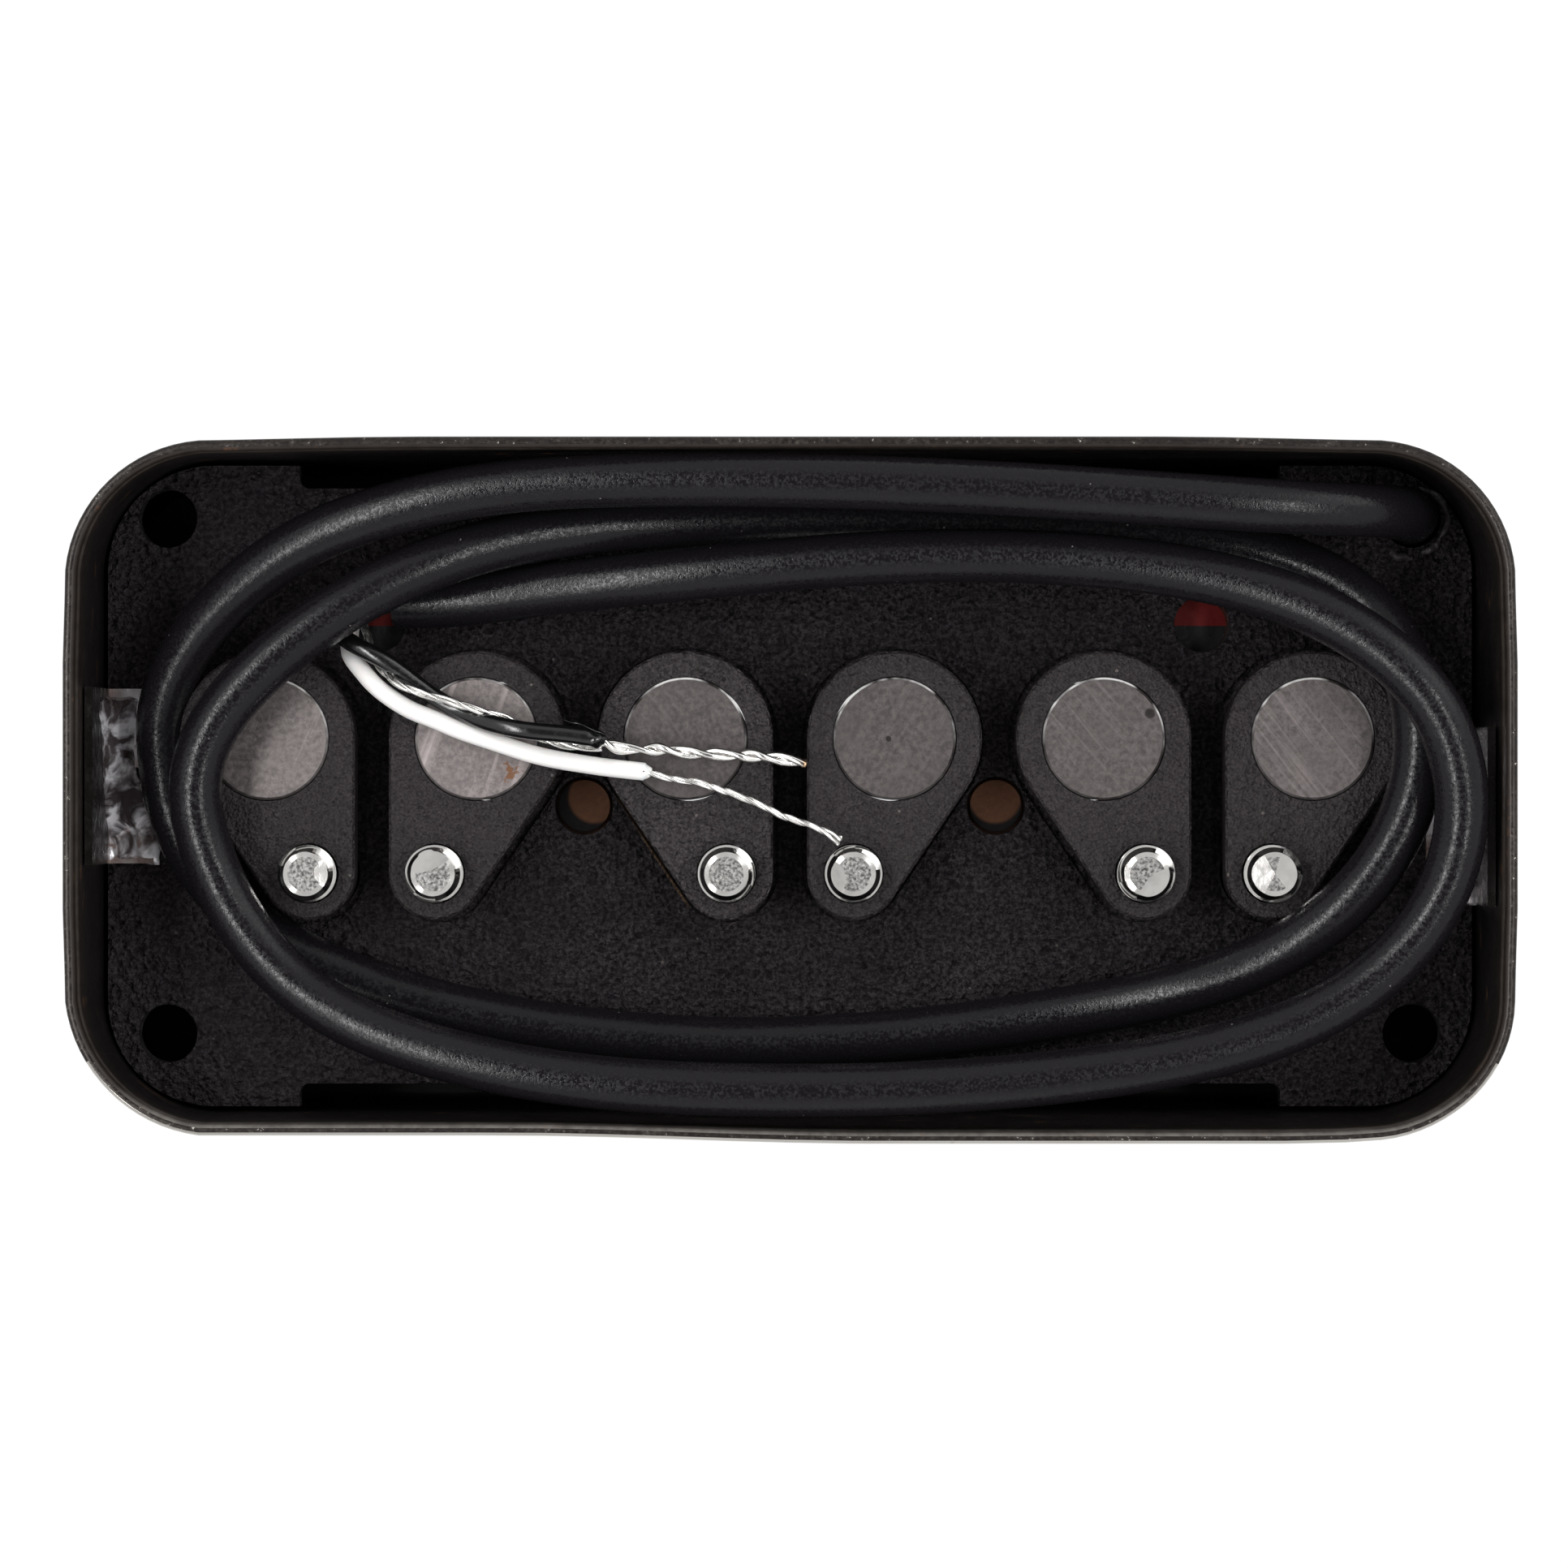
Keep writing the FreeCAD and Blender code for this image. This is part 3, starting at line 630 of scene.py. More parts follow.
def ground_magnet(settings, name, centre, shade, angle, scale, marks, wander, flaws):
    """Ground magnet end: marks or a mottled cast face, a painted highlight along its edge towards
    +y, and its own flaws.
    """
    tint = toned(settings.magnet_colour, shade)
    tree, place = new_material(name, tint)
    grind = tree.group("grinding_marks",
                       {"Vector": place, "Angle": math.radians(angle), "Scale": scale,
                        "Wander": wander})
    cast = tree.noise(place, 3800, 4.0, 0.75)
    cloud = tree.noise(place, 500, 3.0, 0.5)
    pale = tree.times(grind.outputs["Mask"], marks)
    body = tree.mix(tree.remap(cast, 0.38, 0.66), toned(tint, 0.6), toned(tint, 1.2))
    body = tree.mix(tree.remap(cloud, 0.4, 0.65, 0, 0.4), body, toned(tint, 0.8))
    body = tree.mix(pale, body, toned(tint, 2.6))
    reach = tree.measure("DISTANCE", tree.shift(place, scale=(1, 1, 0)), (centre.x, centre.y, 0))
    # Painted highlight: a bright broken line along the edge, strongest towards +y and less metallic
    # there
    rim = tree.remap(reach, 2.92 * MM, 2.97 * MM)
    broken = tree.remap(tree.noise(place, 420), 0.42, 0.56)
    far_side = tree.remap(tree.axis(place, "Y"), centre.y - 0.8 * MM, centre.y + 1.6 * MM, 0.08, 1)
    painted_highlight = tree.times(tree.times(rim, broken), far_side)
    body = tree.mix(painted_highlight, body, paint(250, 248, 246))
    for kind, at, radius in flaws:
        mask = spot(tree, place, at, radius, 1.9 if kind == "rust" else 0.12)
        stain = settings.rust_colour if kind == "rust" else paint(16, 13, 12)
        body = tree.mix(tree.times(mask, 0.8), body, stain)
    height = tree.plus(tree.times(grind.outputs["Height"], 0.5 + marks), tree.times(cast, 0.8))
    return feed(tree, body, tree.remap(cast, 0.3, 0.7, 0.42, 0.58), height, 0.02, 0.7,
                metallic=tree.remap(painted_highlight, 0, 1, 0.8, 0.1))


def bright_solder(settings):
    """Solder wiped on hot: mirror bright and wrinkled, with painted highlights pale and less
    metallic on its crests against darker hollows, and brown flux left in patches.
    """
    tint = settings.solder_colour
    tree, place = new_material("solder", tint)
    wrinkles = tree.noise(tree.shift(place, scale=(1, 1, 0.5)), 800, 3.0, 0.55, 0.8)
    fine = tree.noise(place, 4200)
    flux = tree.remap(tree.noise(place, 560, 3.0, 0.6, 0.5), 0.52, 0.64)
    # Painted highlight: the crests of the wrinkles are pale and less metallic, standing in for the
    # solder's reflections
    body = tree.mix(tree.remap(wrinkles, 0.42, 0.58), paint(120, 108, 110), toned(tint, 1.2))
    body = tree.mix(tree.times(flux, 0.7), body, paint(66, 46, 42))
    return feed(tree, body, tree.remap(fine, 0.35, 0.7, 0.1, 0.26),
                tree.plus(wrinkles, tree.times(fine, 0.2)), 0.12, 0.8,
                metallic=tree.remap(wrinkles, 0.45, 0.6, 0.7, 0.25))


def tinned_tab(settings):
    """Ground tab: pinkish tinned brass, dark above its foot on its upright leg."""
    tint = settings.solder_colour
    tree, place = new_material("tinned_tab", tint, metallic=0.5)
    height = tree.axis(place, "Z")
    lumps = tree.noise(place, 1700)
    clouds = tree.noise(place, 500, 2.0, 0.5)
    body = tree.mix(tree.remap(clouds, 0.4, 0.6), paint(150, 132, 126), tint)
    # Dark above the foot, on the upright leg
    body = tree.mix(tree.remap(height, 10.8 * MM, 11.4 * MM), body, paint(27, 23, 21))
    return feed(tree, body, tree.remap(lumps, 0.35, 0.65, 0.22, 0.46), lumps, 0.08, 0.8)


def fibre_plate(name, tint, lit=()):
    """Pressed brown fibre with a fine tooth, dark outside any lit rounds, given in mm."""
    tree, place = new_material(name, tint, specular_ior_level=0.06 if lit else 0.3)
    tooth = tree.noise(place, 3600)
    body = tree.mix(tree.remap(tooth, 0.35, 0.7), toned(tint, 0.75), tint)
    if lit:
        clear = 0.0
        for centre, radius in lit:
            reach = tree.measure("DISTANCE", place, [c * MM for c in centre])
            clear = tree.plus(tree.remap(reach, (radius + 0.08) * MM, (radius - 0.1) * MM), clear)
        body = tree.mix(clear, paint(14, 12, 12), body)
    return feed(tree, body, tree.remap(tooth, 0.3, 0.7, 0.55, 0.75), tooth, 0.02, 0.6)


def wound_tape(name, tint):
    """Red tape or enamel seen over the turns of fine wire beneath it."""
    tree, place = new_material(name, tint, specular_ior_level=0.15)
    turns = tree.add("ShaderNodeTexWave",
                     {"Vector": place, "Scale": 900, "Distortion": 0.6, "Detail": 2.0},
                     bands_direction="Z").outputs["Fac"]
    weave = tree.noise(place, 3000, 2.0, 0.5)
    body = tree.mix(tree.remap(turns, 0.2, 0.8, 0, 0.6), tint, toned(tint, 0.45))
    return feed(tree, body, tree.remap(weave, 0.3, 0.7, 0.4, 0.6), tree.plus(turns, weave), 0.03,
                0.6)


def cut_steel(settings):
    """Cut end of a screw: rough and grainy, with a few bright scratches."""
    tint = settings.steel_colour
    tree, place = new_material("cut_steel", tint, metallic=1.0)
    grain = tree.noise(place, 6000, 3.0, 0.7)
    body = tree.mix(tree.remap(grain, 0.38, 0.64), toned(tint, 0.1), toned(tint, 0.5))
    return feed(tree, body, tree.remap(grain, 0.3, 0.7, 0.3, 0.5), grain, 0.05, 0.9)


def tinned_twist(settings):
    """Tinned strands whose cut tip shows the copper."""
    tint = settings.tin_colour
    tree, place = new_material("tinned_twist", tint, metallic=1.0)
    waves = tree.noise(place, 2400)
    along_x = tree.axis(place, "X")
    tip = tree.remap(tree.plus(along_x, tree.times(waves, 0.3 * MM)), 0.62 * MM, 0.82 * MM)
    body = tree.mix(tip, tint, paint(190, 158, 128))
    return feed(tree, body, tree.remap(waves, 0.3, 0.75, 0.12, 0.32), waves, 0.015, 0.8)


# Cable and wires

def cord_curve(name, route, diameter, fine, ring, sizes=()):
    """Smooth curve through the neighbourhood of a route's points, round and filled."""
    curve = bpy.data.curves.new(name, "CURVE")
    curve.dimensions = "3D"
    spline = curve.splines.new("NURBS")
    spline.points.add(len(route) - 1)
    for point, place in zip(spline.points, route):
        point.co = (*place, 1)
    for point, size in zip(spline.points, sizes):
        point.radius = size
    spline.order_u = 3
    spline.use_endpoint_u = True
    curve.resolution_u = fine
    curve.bevel_depth = diameter / 2
    curve.bevel_resolution = ring
    curve.use_fill_caps = True
    piece = bpy.data.objects.new(name, curve)
    bpy.context.scene.collection.objects.link(piece)
    return piece


def line_of(route):
    """Points along a route's smooth line."""
    guide = cord_curve("guide", route, 0, 12, 0)
    mesh, curve = bpy.data.meshes.new_from_object(guide), guide.data
    points = [vertex.co.copy() for vertex in mesh.vertices]
    bpy.data.objects.remove(guide)
    bpy.data.curves.remove(curve)
    bpy.data.meshes.remove(mesh)
    return points


def turning_frames(points):
    """Point, two cross directions and the way run so far, for each point of a line."""
    frames, run, side = [], 0, None
    for number, point in enumerate(points):
        ahead = points[min(number + 1, len(points) - 1)] - points[max(number - 1, 0)]
        ahead.normalize()
        if side is None:
            side = ahead.orthogonal()
        side = (side - ahead * side.dot(ahead)).normalized()
        if number:
            run += (point - points[number - 1]).length
        frames.append((point, side, ahead.cross(side), run))
    return frames


def wound_strands(name, route, wire, count, radius, pitch, seed, spread, lumps):
    """Tinned strands wound about a route, uneven where the tin has run, as one mesh."""
    frames = turning_frames(line_of(route))
    whole = frames[-1][3]
    strands = []
    for strand in range(count):
        places, sizes = [], []
        for point, side, up, run in frames[::2] + [frames[-1]]:
            angle = 2 * math.pi * (strand / count + run / pitch)
            angle += 0.9 * ripple((run, 0, 0), 1.6 * MM, seed)
            loose = 1 + 0.3 * ripple((run, strand, 0), 1.1 * MM, seed + strand)
            loose += spread * max(0, run / whole - 0.88) / 0.12
            places.append(point + (side * math.cos(angle) + up * math.sin(angle)) * radius * loose)
            sizes.append(1 + lumps * ripple((run, strand, 1), 0.8 * MM, seed + strand))
        strands.append(make_mesh(cord_curve("strand", places, wire, 3, 4, sizes)))
    piece = join(strands)
    piece.name = piece.data.name = name
    clean(piece)
    return piece


def insulated(name, route, diameter, steps, sizes):
    """Insulated wire as a mesh, carried on by a few steps over which its cut end draws in."""
    step = Vector((0.12 * MM, -0.01 * MM, 0))
    end = [tuple(Vector(route[-1]) + step * k) for k in steps]
    piece = make_mesh(cord_curve(name, route + end, diameter, 10, 7, [1.0] * len(route) + sizes))
    clean(piece)
    smooth(piece, 60)
    return piece


def tear_end(piece, tip):
    """Roughens the last stretch of a wire, up to its tip."""
    for vertex in piece.data.vertices:
        torn = soft_step(vertex.co.x, tip - 0.9 * MM, tip)
        vertex.co.y += torn * 0.12 * MM * ripple(vertex.co, 0.4 * MM, 2)
        vertex.co.z += torn * 0.12 * MM * ripple(vertex.co, 0.3 * MM, 9)
        vertex.co.x += torn * 0.2 * MM * ripple((vertex.co.y, vertex.co.z, 0), 0.3 * MM, 4)


class PICKUP_OT_cable(bpy.types.Operator):
    """The jacketed cable, in more than two loose loops inside the cover"""

    bl_idname = "pickup.cable"
    bl_label = "Cable"

    def execute(self, context):
        settings = context.scene.pickup_cable
        cable = cord_curve("cable_jacket", CABLE_ROUTE, settings.jacket_diameter, 10, 7)
        dress(cable, jacket_rubber(settings))
        finish_piece(cable, "housing", "cable_jacket", "cable")
        return {"FINISHED"}


class PICKUP_OT_wires(bpy.types.Operator):
    """The insulated and bare conductors at both ends of the cable"""

    bl_idname = "pickup.wires"
    bl_label = "Wires"

    def execute(self, context):
        settings = context.scene.pickup_cable
        white = insulated("white_conductor", WHITE_ROUTE, settings.white_diameter,
                          (-2.5, 0.2, 2.2), [0.98, 0.8, 0.45])
        dress(white, insulation("white_insulation", settings.white_colour, 0.42, 0.1))
        finish_piece(white, "housing", "white_insulation", "white_wire")

        black = insulated("black_conductor", BLACK_ROUTE, settings.black_diameter,
                          (0.5, 1.6, 3.0), [0.95, 0.85, 0.45])
        tear_end(black, BLACK_ROUTE[-1][0])
        hair = make_mesh(cord_curve("torn_thread", TORN_THREAD, 0.06 * MM, 6, 2))
        clean(hair)
        black = join([black, hair])
        dress(black, insulation("black_insulation", settings.black_colour, 0.14, 0.0))
        finish_piece(black, "housing", "black_insulation", "black_wire")

        tin = bright_metal("tinned_wire", settings.tin_colour, 0.2, 1800, 0.012, 0.8)
        copper_tipped = tinned_twist(settings)
        strand, twist = settings.strand_diameter, settings.twist_diameter
        # Route, strand, how many, their radius and pitch in mm, seed, spread at the end, lumps
        for name, node, look, *winding in (
                ("white_bare_end", "white_strands", tin,
                 WHITE_STRAND_ROUTE, strand, 3, 0.09 * MM, 3.0 * MM, 3, 1.2, 0.25),
                ("drain_strands", "drain_wire", tin,
                 DRAIN_ROUTE, strand, 3, 0.12 * MM, 4.4 * MM, 5, 0.0, 0.2),
                ("twisted_end", "twisted_strands", copper_tipped,
                 TWIST_ROUTE, twist, 2, 0.17 * MM, 3.1 * MM, 8, -0.3, 0.4)):
            piece = wound_strands(name, *winding)
            dress(piece, look)
            finish_piece(piece, "housing", "tinned_copper", node)
        dress_nodes(tin, "inner_leads")
        return {"FINISHED"}


# Metal pieces

def trace(name, points):
    """Chain of edges through points, drawn by extruding one vertex."""
    piece = start(name, "plane", size=MM)
    edit(piece)
    bpy.ops.mesh.merge(type="CENTER")
    bpy.ops.transform.translate(value=points[0])
    for before, after in zip(points, points[1:]):
        step = tuple(b - a for a, b in zip(before, after))
        bpy.ops.mesh.extrude_region_move(TRANSFORM_OT_translate={"value": step})
    leave_edit()
    return piece


def slice_off(piece, point, outwards, close=True):
    """Cuts the piece with a plane, closes the cut and drops what lies outwards of it."""
    edit(piece)
    bpy.ops.mesh.bisect(plane_co=point, plane_no=outwards, clear_outer=True)
    if close:
        bpy.ops.mesh.select_all(action="SELECT")
        bpy.ops.mesh.fill_holes(sides=0)
    leave_edit()


class PICKUP_OT_springs(bpy.types.Operator):
    """The six compression springs round the height screws"""

    bl_idname = "pickup.springs"
    bl_label = "Springs"

    def execute(self, context):
        settings = context.scene.pickup_metal
        steel = bright_metal("spring_steel", settings.steel_colour, 0.3, 1500, 0.03)
        low, high = box_of("spring_1")
        wire = settings.spring_wire
        model = start("spring", "circle", vertices=10, radius=wire / 2, fill_type="NOTHING",
                      location=((high.x - low.x - wire) / 2, 0, low.z + wire / 2),
                      rotation=(math.pi / 2, 0, 0))
        rise = (high.z - low.z - wire) / settings.spring_turns
        turn_round(model, 24, rise, settings.spring_turns)
        clean(model, close=12)
        smooth(model, 50)
        for number in range(1, 7):
            node = "spring_%d" % number
            low, high = box_of(node)
            x, y, _ = (low + high) / 2
            spring = copy_piece(model, "coil_" + node, Matrix.Translation((x, y, 0)))
            dress(spring, steel)
            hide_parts(node)
            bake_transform(spring)
        delete(model)
        return {"FINISHED"}


def threaded_shank(settings, low, high):
    """Rod with a rolled thread, its far end chamfered."""
    outer, root, pitch = settings.thread_diameter / 2, 1.03 * MM, settings.thread_pitch
    profile = [(root, 0), (root, 0.12), (outer, 0.44), (outer, 0.57), (root, 0.88), (root, 1)]
    shank = trace("shank", [(r, 0, low - pitch + share * pitch) for r, share in profile])
    turn_round(shank, 36, pitch, math.ceil((high - low) / pitch) + 3)
    clean(shank)
    chamfer = 0.45 * MM
    shoulder = high - 1.8 * chamfer
    slice_off(shank, (0, 0, shoulder), (0, 0, 1), close=False)
    slice_off(shank, (0, 0, low), (0, 0, -1))
    tip = trace("tip", [(r, 0, z) for r, z in (
        (0, shoulder - chamfer), (root, shoulder - chamfer), (root, shoulder - 0.3 * chamfer),
        (outer, shoulder), (outer - 0.1 * MM, shoulder + 0.06 * MM),
        (1.13 * MM, shoulder + 0.42 * MM), (1.09 * MM, high - 0.09 * MM), (0.86 * MM, high),
        (0, high))])
    turn_round(tip, 48)
    clean(tip)
    return join([shank, tip])


def ease_shoulder(screw, centre, height):
    """Lays the steep shoulder back on the side where the thread runs out."""
    for vertex in screw.data.vertices:
        away = vertex.co - centre
        turned = abs(math.degrees(math.atan2(away.y, away.x)) - 40)
        if abs(vertex.co.z - height) < 0.01 * MM:
            vertex.co.z -= 0.25 * MM * soft_step(-turned, -40, -26)


# Cuts of each screw's end: off its middle in mm, below its top in mm, and the way the cut leans
SCREW_CUTS = {
    1: [(0.45, 0.0, 0.0, 0.35, 0.0)],
    2: [(0.0, 0.25, 0.0, -0.2, 0.55)],
    4: [(-0.45, 0.0, 0.0, -0.5, -0.1)],
    5: [(0.15, -0.15, 0.0, 0.35, -0.35)],
    6: [(0.12, 0.0, 0.0, 0.3, 0.05), (-0.12, 0.0, 0.0, -0.3, 0.0)],
}


class PICKUP_OT_screws(bpy.types.Operator):
    """The six slotted height screws, each with its own cut end"""

    bl_idname = "pickup.screws"
    bl_label = "Height screws"

    def execute(self, context):
        settings = context.scene.pickup_metal
        sides = bright_metal("rolled_thread", settings.steel_colour, 0.1, 2800, 0.008, 0.75)
        ends = cut_steel(settings)
        low, high = box_of("height_screw_1")
        head_top = low.z + 1.3 * MM
        shank = threaded_shank(settings, low.z + 0.9 * MM, high.z)
        head = start("head", "cylinder", vertices=48, radius=settings.head_diameter / 2,
                     depth=head_top - low.z, location=(0, 0, (low.z + head_top) / 2))
        edit(head)
        choose(head, "EDGE", level(low.z))
        bpy.ops.mesh.bevel(offset=0.3 * MM, segments=4)
        leave_edit()
        cut_with(head, start("slot", "cube", size=1, scale=(0.65 * MM, 6 * MM, 1.4 * MM),
                             location=(0, 0, low.z)))
        model = join([head, shank])
        for number in range(1, 7):
            node = "height_screw_%d" % number
            low, high = box_of(node)
            centre = (low + high) / 2
            turn = Matrix.Rotation(math.radians(number * 111.25), 4, "Z")
            screw = copy_piece(model, "threaded_screw_%d" % number,
                               Matrix.Translation((centre.x, centre.y, 0)) @ turn)
            ease_shoulder(screw, centre, high.z - 0.39 * MM)
            for x, y, drop, lean_x, lean_y in SCREW_CUTS.get(number, []):
                slice_off(screw, (centre.x + x * MM, centre.y + y * MM, high.z - drop * MM),
                          (lean_x, lean_y, 1))
            smooth(screw, 18)
            dress(screw, sides, ends)
            for face in screw.data.polygons:
                x, y, z = face.center
                off = math.hypot(x - centre.x, y - centre.y)
                if z > high.z - 0.7 * MM and face.normal.z > 0.985 and off < 0.8 * MM:
                    face.material_index = 1
            finish_piece(screw, "screw_%d" % number, "nickel_steel", node)
        delete(model)
        return {"FINISHED"}


# How far the solder runs out from the wall, and how high it stands, by its place along y, in mm
LEFT_REACH = [(-3.9, 2.82), (-2.2, 2.84), (-1.6, 2.45), (-1.2, 2.2), (-0.6, 2.12), (0.0, 1.95),
              (0.6, 1.7), (2.0, 1.6), (3.2, 1.72), (4.5, 1.88)]
LEFT_TOP = [(-3.9, 10.75), (-2.3, 10.9), (-1.9, 11.8), (-1.3, 13.0), (0.0, 14.2), (2.0, 15.2),
            (3.1, 15.9), (3.6, 16.6), (4.6, 16.4)]
RIGHT_REACH = [(-6.0, 2.75), (-4.6, 2.6), (-3.5, 1.9), (-2.0, 1.5), (0.0, 1.5), (1.6, 1.9),
               (2.9, 2.6)]
RIGHT_TOP = [(-6.0, 10.7), (-5.0, 10.9), (-4.2, 12.4), (-3.0, 15.4), (-1.0, 16.4), (0.6, 14.6),
             (1.6, 12.0), (2.9, 10.7)]


def solder_run(name, wall, side, reach_table, top_table, seed):
    """Solder wiped down the wall in a lumpy fillet that runs out onto the tab's foot, in mm."""
    piece = start(name, "cube", size=1)
    edit(piece)
    bpy.ops.mesh.subdivide(number_cuts=44)
    leave_edit()
    foot, thin = 10.3, 0.32
    first, last = reach_table[0][0], reach_table[-1][0]
    for vertex in piece.data.vertices:
        out, share, up = vertex.co.x + 0.5, vertex.co.y + 0.5, vertex.co.z + 0.5
        y = first + (last - first) * share
        y += 0.12 * ripple((out * 3, 0, 0), 1.0, seed) * (2 * share - 1)
        reach = along(reach_table, y) * (1 + 0.03 * ripple((y, 0, 0), 0.5, seed + 1))
        top = along(top_table, y) + 0.3 * ripple((y, 0, 0), 0.7, seed + 2)
        reach_share = out ** 1.5
        off_wall = reach_share * reach
        fillet = (1 - reach_share) ** 2.0
        height = thin + (top - foot - thin) * fillet
        edge = min(1, (1 - reach_share) / 0.06, share / 0.05, (1 - share) / 0.05)
        height *= 0.35 + 0.65 * edge ** 0.5
        height += (0.28 * edge * fillet ** 0.5
                   * ripple((off_wall, y * 0.25, 3), 0.55, seed + 6))
        lumps = (0.16 * ripple((off_wall, y, 0), 0.9, seed + 3)
                 + 0.09 * ripple((off_wall, y, 1), 0.35, seed + 4))
        height += edge * lumps * min(1, height)
        lump = soft_step(y, 3.2, 3.7) * soft_step(fillet, 0.2, 0.6)
        sway = 0.25 * lump * ripple((y, height, 2), 0.6, seed + 5)
        x = wall - side * (off_wall + up * (0.05 + sway))
        vertex.co = Vector((x, y, foot + up * height)) * MM
        vertex.co.x = wall * MM - side * max(0.01 * MM, abs(vertex.co.x - wall * MM))
    clean(piece)
    smooth(piece, 180)
    return piece


class PICKUP_OT_solder(bpy.types.Operator):
    """The ground tabs and the solder that bonds them to the cover"""

    bl_idname = "pickup.solder"
    bl_label = "Tabs and solder"

    def execute(self, context):
        settings = context.scene.pickup_metal
        bright = bright_solder(settings)
        wall = 34.68
        for end, side, *tables, seed in (("left", -1, LEFT_REACH, LEFT_TOP, 2),
                                         ("right", 1, RIGHT_REACH, RIGHT_TOP, 6)):
            run = solder_run("solder_run_" + end, side * wall, side, *tables, seed)
            dress(run, bright)
            finish_piece(run, "housing", "solder", "solder_" + end)
        dress_nodes(tinned_tab(settings), "ground_tab_left", "ground_tab_right")
        return {"FINISHED"}


def rounded_box(name, low, high, corner, segments):
    """Box with round upright corners."""
    piece = start(name, "cube", size=1, scale=tuple(high - low), location=tuple((low + high) / 2))
    edit(piece)
    choose(piece, "EDGE", lambda e: abs(e.verts[0].co.z - e.verts[1].co.z) > 1e-6)
    bpy.ops.mesh.bevel(offset=corner, segments=segments)
    leave_edit()
    return piece


def outside_at(x, y, high, corner):
    """How far a point lies inside the cover's outline, and the way straight out from there."""
    over_x, over_y = abs(x) - (high.x - corner), abs(y) - (high.y - corner)
    if over_x > 0 and over_y > 0:
        reach = math.hypot(over_x, over_y)
        way = Vector((math.copysign(over_x, x), math.copysign(over_y, y), 0)) / reach
        return corner - reach, way
    if high.x - abs(x) < high.y - abs(y):
        return high.x - abs(x), Vector((math.copysign(1, x), 0, 0))
    return high.y - abs(y), Vector((0, math.copysign(1, y), 0))


# How far each corner is drawn in at the rim in mm, by whether it lies at the right and at the top
CORNER_EASE = {(False, False): 0.8, (False, True): 0.42, (True, True): 0.36, (True, False): 0.15}


def settle_outline(shell, high, corner):
    """Eases the corners and bows the sides a little towards the rim, as on the drawn sheet."""
    for vertex in shell.data.vertices:
        x, y, z = vertex.co
        inside, way = outside_at(x, y, high, corner)
        if inside > 2 * MM:
            continue
        rise = soft_step(z, 10.4 * MM, high.z)
        ease = CORNER_EASE[way.x > 0, way.y > 0] * (abs(way.x) + abs(way.y) - 1)
        if way.y > 0:
            ease += 0.2 * way.y * soft_step(abs(x), 18 * MM, 31 * MM)
        else:
            ease += way.y * 0.4 * soft_step(x, -14 * MM, 4 * MM) * soft_step(-x, -33 * MM, -25 * MM)
        ease -= 0.12 * abs(way.x) * soft_step(-abs(y), -10.5 * MM, -6 * MM)
        vertex.co -= way * ease * rise * MM


class PICKUP_OT_cover(bpy.types.Operator):
    """The drawn metal cover with its window and sheared rim"""

    bl_idname = "pickup.cover"
    bl_label = "Cover"

    def execute(self, context):
        settings = context.scene.pickup_metal
        low, high = box_of("cover")
        shell = rounded_box("drawn_cover", low, high, settings.cover_corner, 16)
        edit(shell)
        choose(shell, "EDGE", level(low.z))
        bpy.ops.mesh.bevel(offset=1.0 * MM, segments=5)
        choose(shell, "FACE", lambda f: f.normal.z > 0.9)
        bpy.ops.mesh.delete(type="ONLY_FACE")
        leave_edit()
        dress(shell, nickel_plate(settings), dull_inside(), sheared_rim())
        apply_modifier(shell, "SOLIDIFY", thickness=settings.cover_sheet, offset=-1,
                       use_even_offset=True, material_offset=1, material_offset_rim=2)
        window = Vector((31.05 * MM, 8.6 * MM, 1.2 * MM))
        cut_with(shell, rounded_box("window", Vector((-window.x, -window.y, -MM)), window,
                                    4.0 * MM, 8))
        edit(shell)
        at_rim = level(high.z)
        choose(shell, "EDGE", lambda edge: at_rim(edge) and len(edge.link_faces) == 2
               and min(abs(face.normal.z) for face in edge.link_faces) < 0.5)
        bpy.ops.mesh.bevel(offset=0.24 * MM, segments=5)
        # Rows across the walls let the sides bow
        for way, rows in (((1, 0, 0), range(-27, 30, 3)), ((0, 1, 0), range(-9, 11, 3)),
                          ((0, 0, 1), (10.4, 13, 15.5, 18))):
            for row in rows:
                bpy.ops.mesh.select_all(action="SELECT")
                bpy.ops.mesh.bisect(plane_co=[row * MM * part for part in way], plane_no=way)
        leave_edit()
        for face in shell.data.polygons:
            inside, way = outside_at(face.center.x, face.center.y, high, settings.cover_corner)
            if face.center.z > high.z - 0.26 * MM:
                lean = face.normal.dot(way)
                face.material_index = 1 if lean < -0.2 else 2
                if lean > 0.35 and way.y < -0.5:
                    face.material_index = 0
            elif face.normal.dot(way) < -0.3 or (face.normal.z > 0.5 and inside > 0.3 * MM):
                face.material_index = 1
            else:
                face.material_index = 0
        settle_outline(shell, high, settings.cover_corner)
        smooth(shell, 30)
        finish_piece(shell, "housing", "nickel_cover", "cover")
        return {"FINISHED"}


# Shade, then the grinding's angle, scale, strength and wander, then flaws: kind, place, radius
MAGNET_LOOKS = (
    (0.62, 24, 1500, 0.45, 0.25, []),
    (0.72, 20, 1400, 0.6, 0.3, [("rust", (-13.95, 0.75, 14.4), 0.45)]),
    (0.34, -35, 2600, 0.1, 0.9, []),
    (0.33, 30, 2600, 0.1, 0.9, [("pit", (4.9, 2.35, 14.4), 0.16)]),
    (0.38, -40, 3000, 0.3, 0.3, [("pit", (17.9, 3.6, 14.4), 0.3)]),
    (0.44, -38, 3000, 0.35, 0.3, []),
)


class PICKUP_OT_magnets(bpy.types.Operator):
    """Finish of the six ground rod magnets"""

    bl_idname = "pickup.magnets"
    bl_label = "Magnets"

    def execute(self, context):
        settings = context.scene.pickup_metal
        for number, look in enumerate(MAGNET_LOOKS, 1):
            node = "magnet_%d" % number
            low, high = box_of(node)
            dress_nodes(ground_magnet(settings, "ground_" + node, (low + high) / 2, *look), node)
        return {"FINISHED"}


# Plates, bobbin and coil

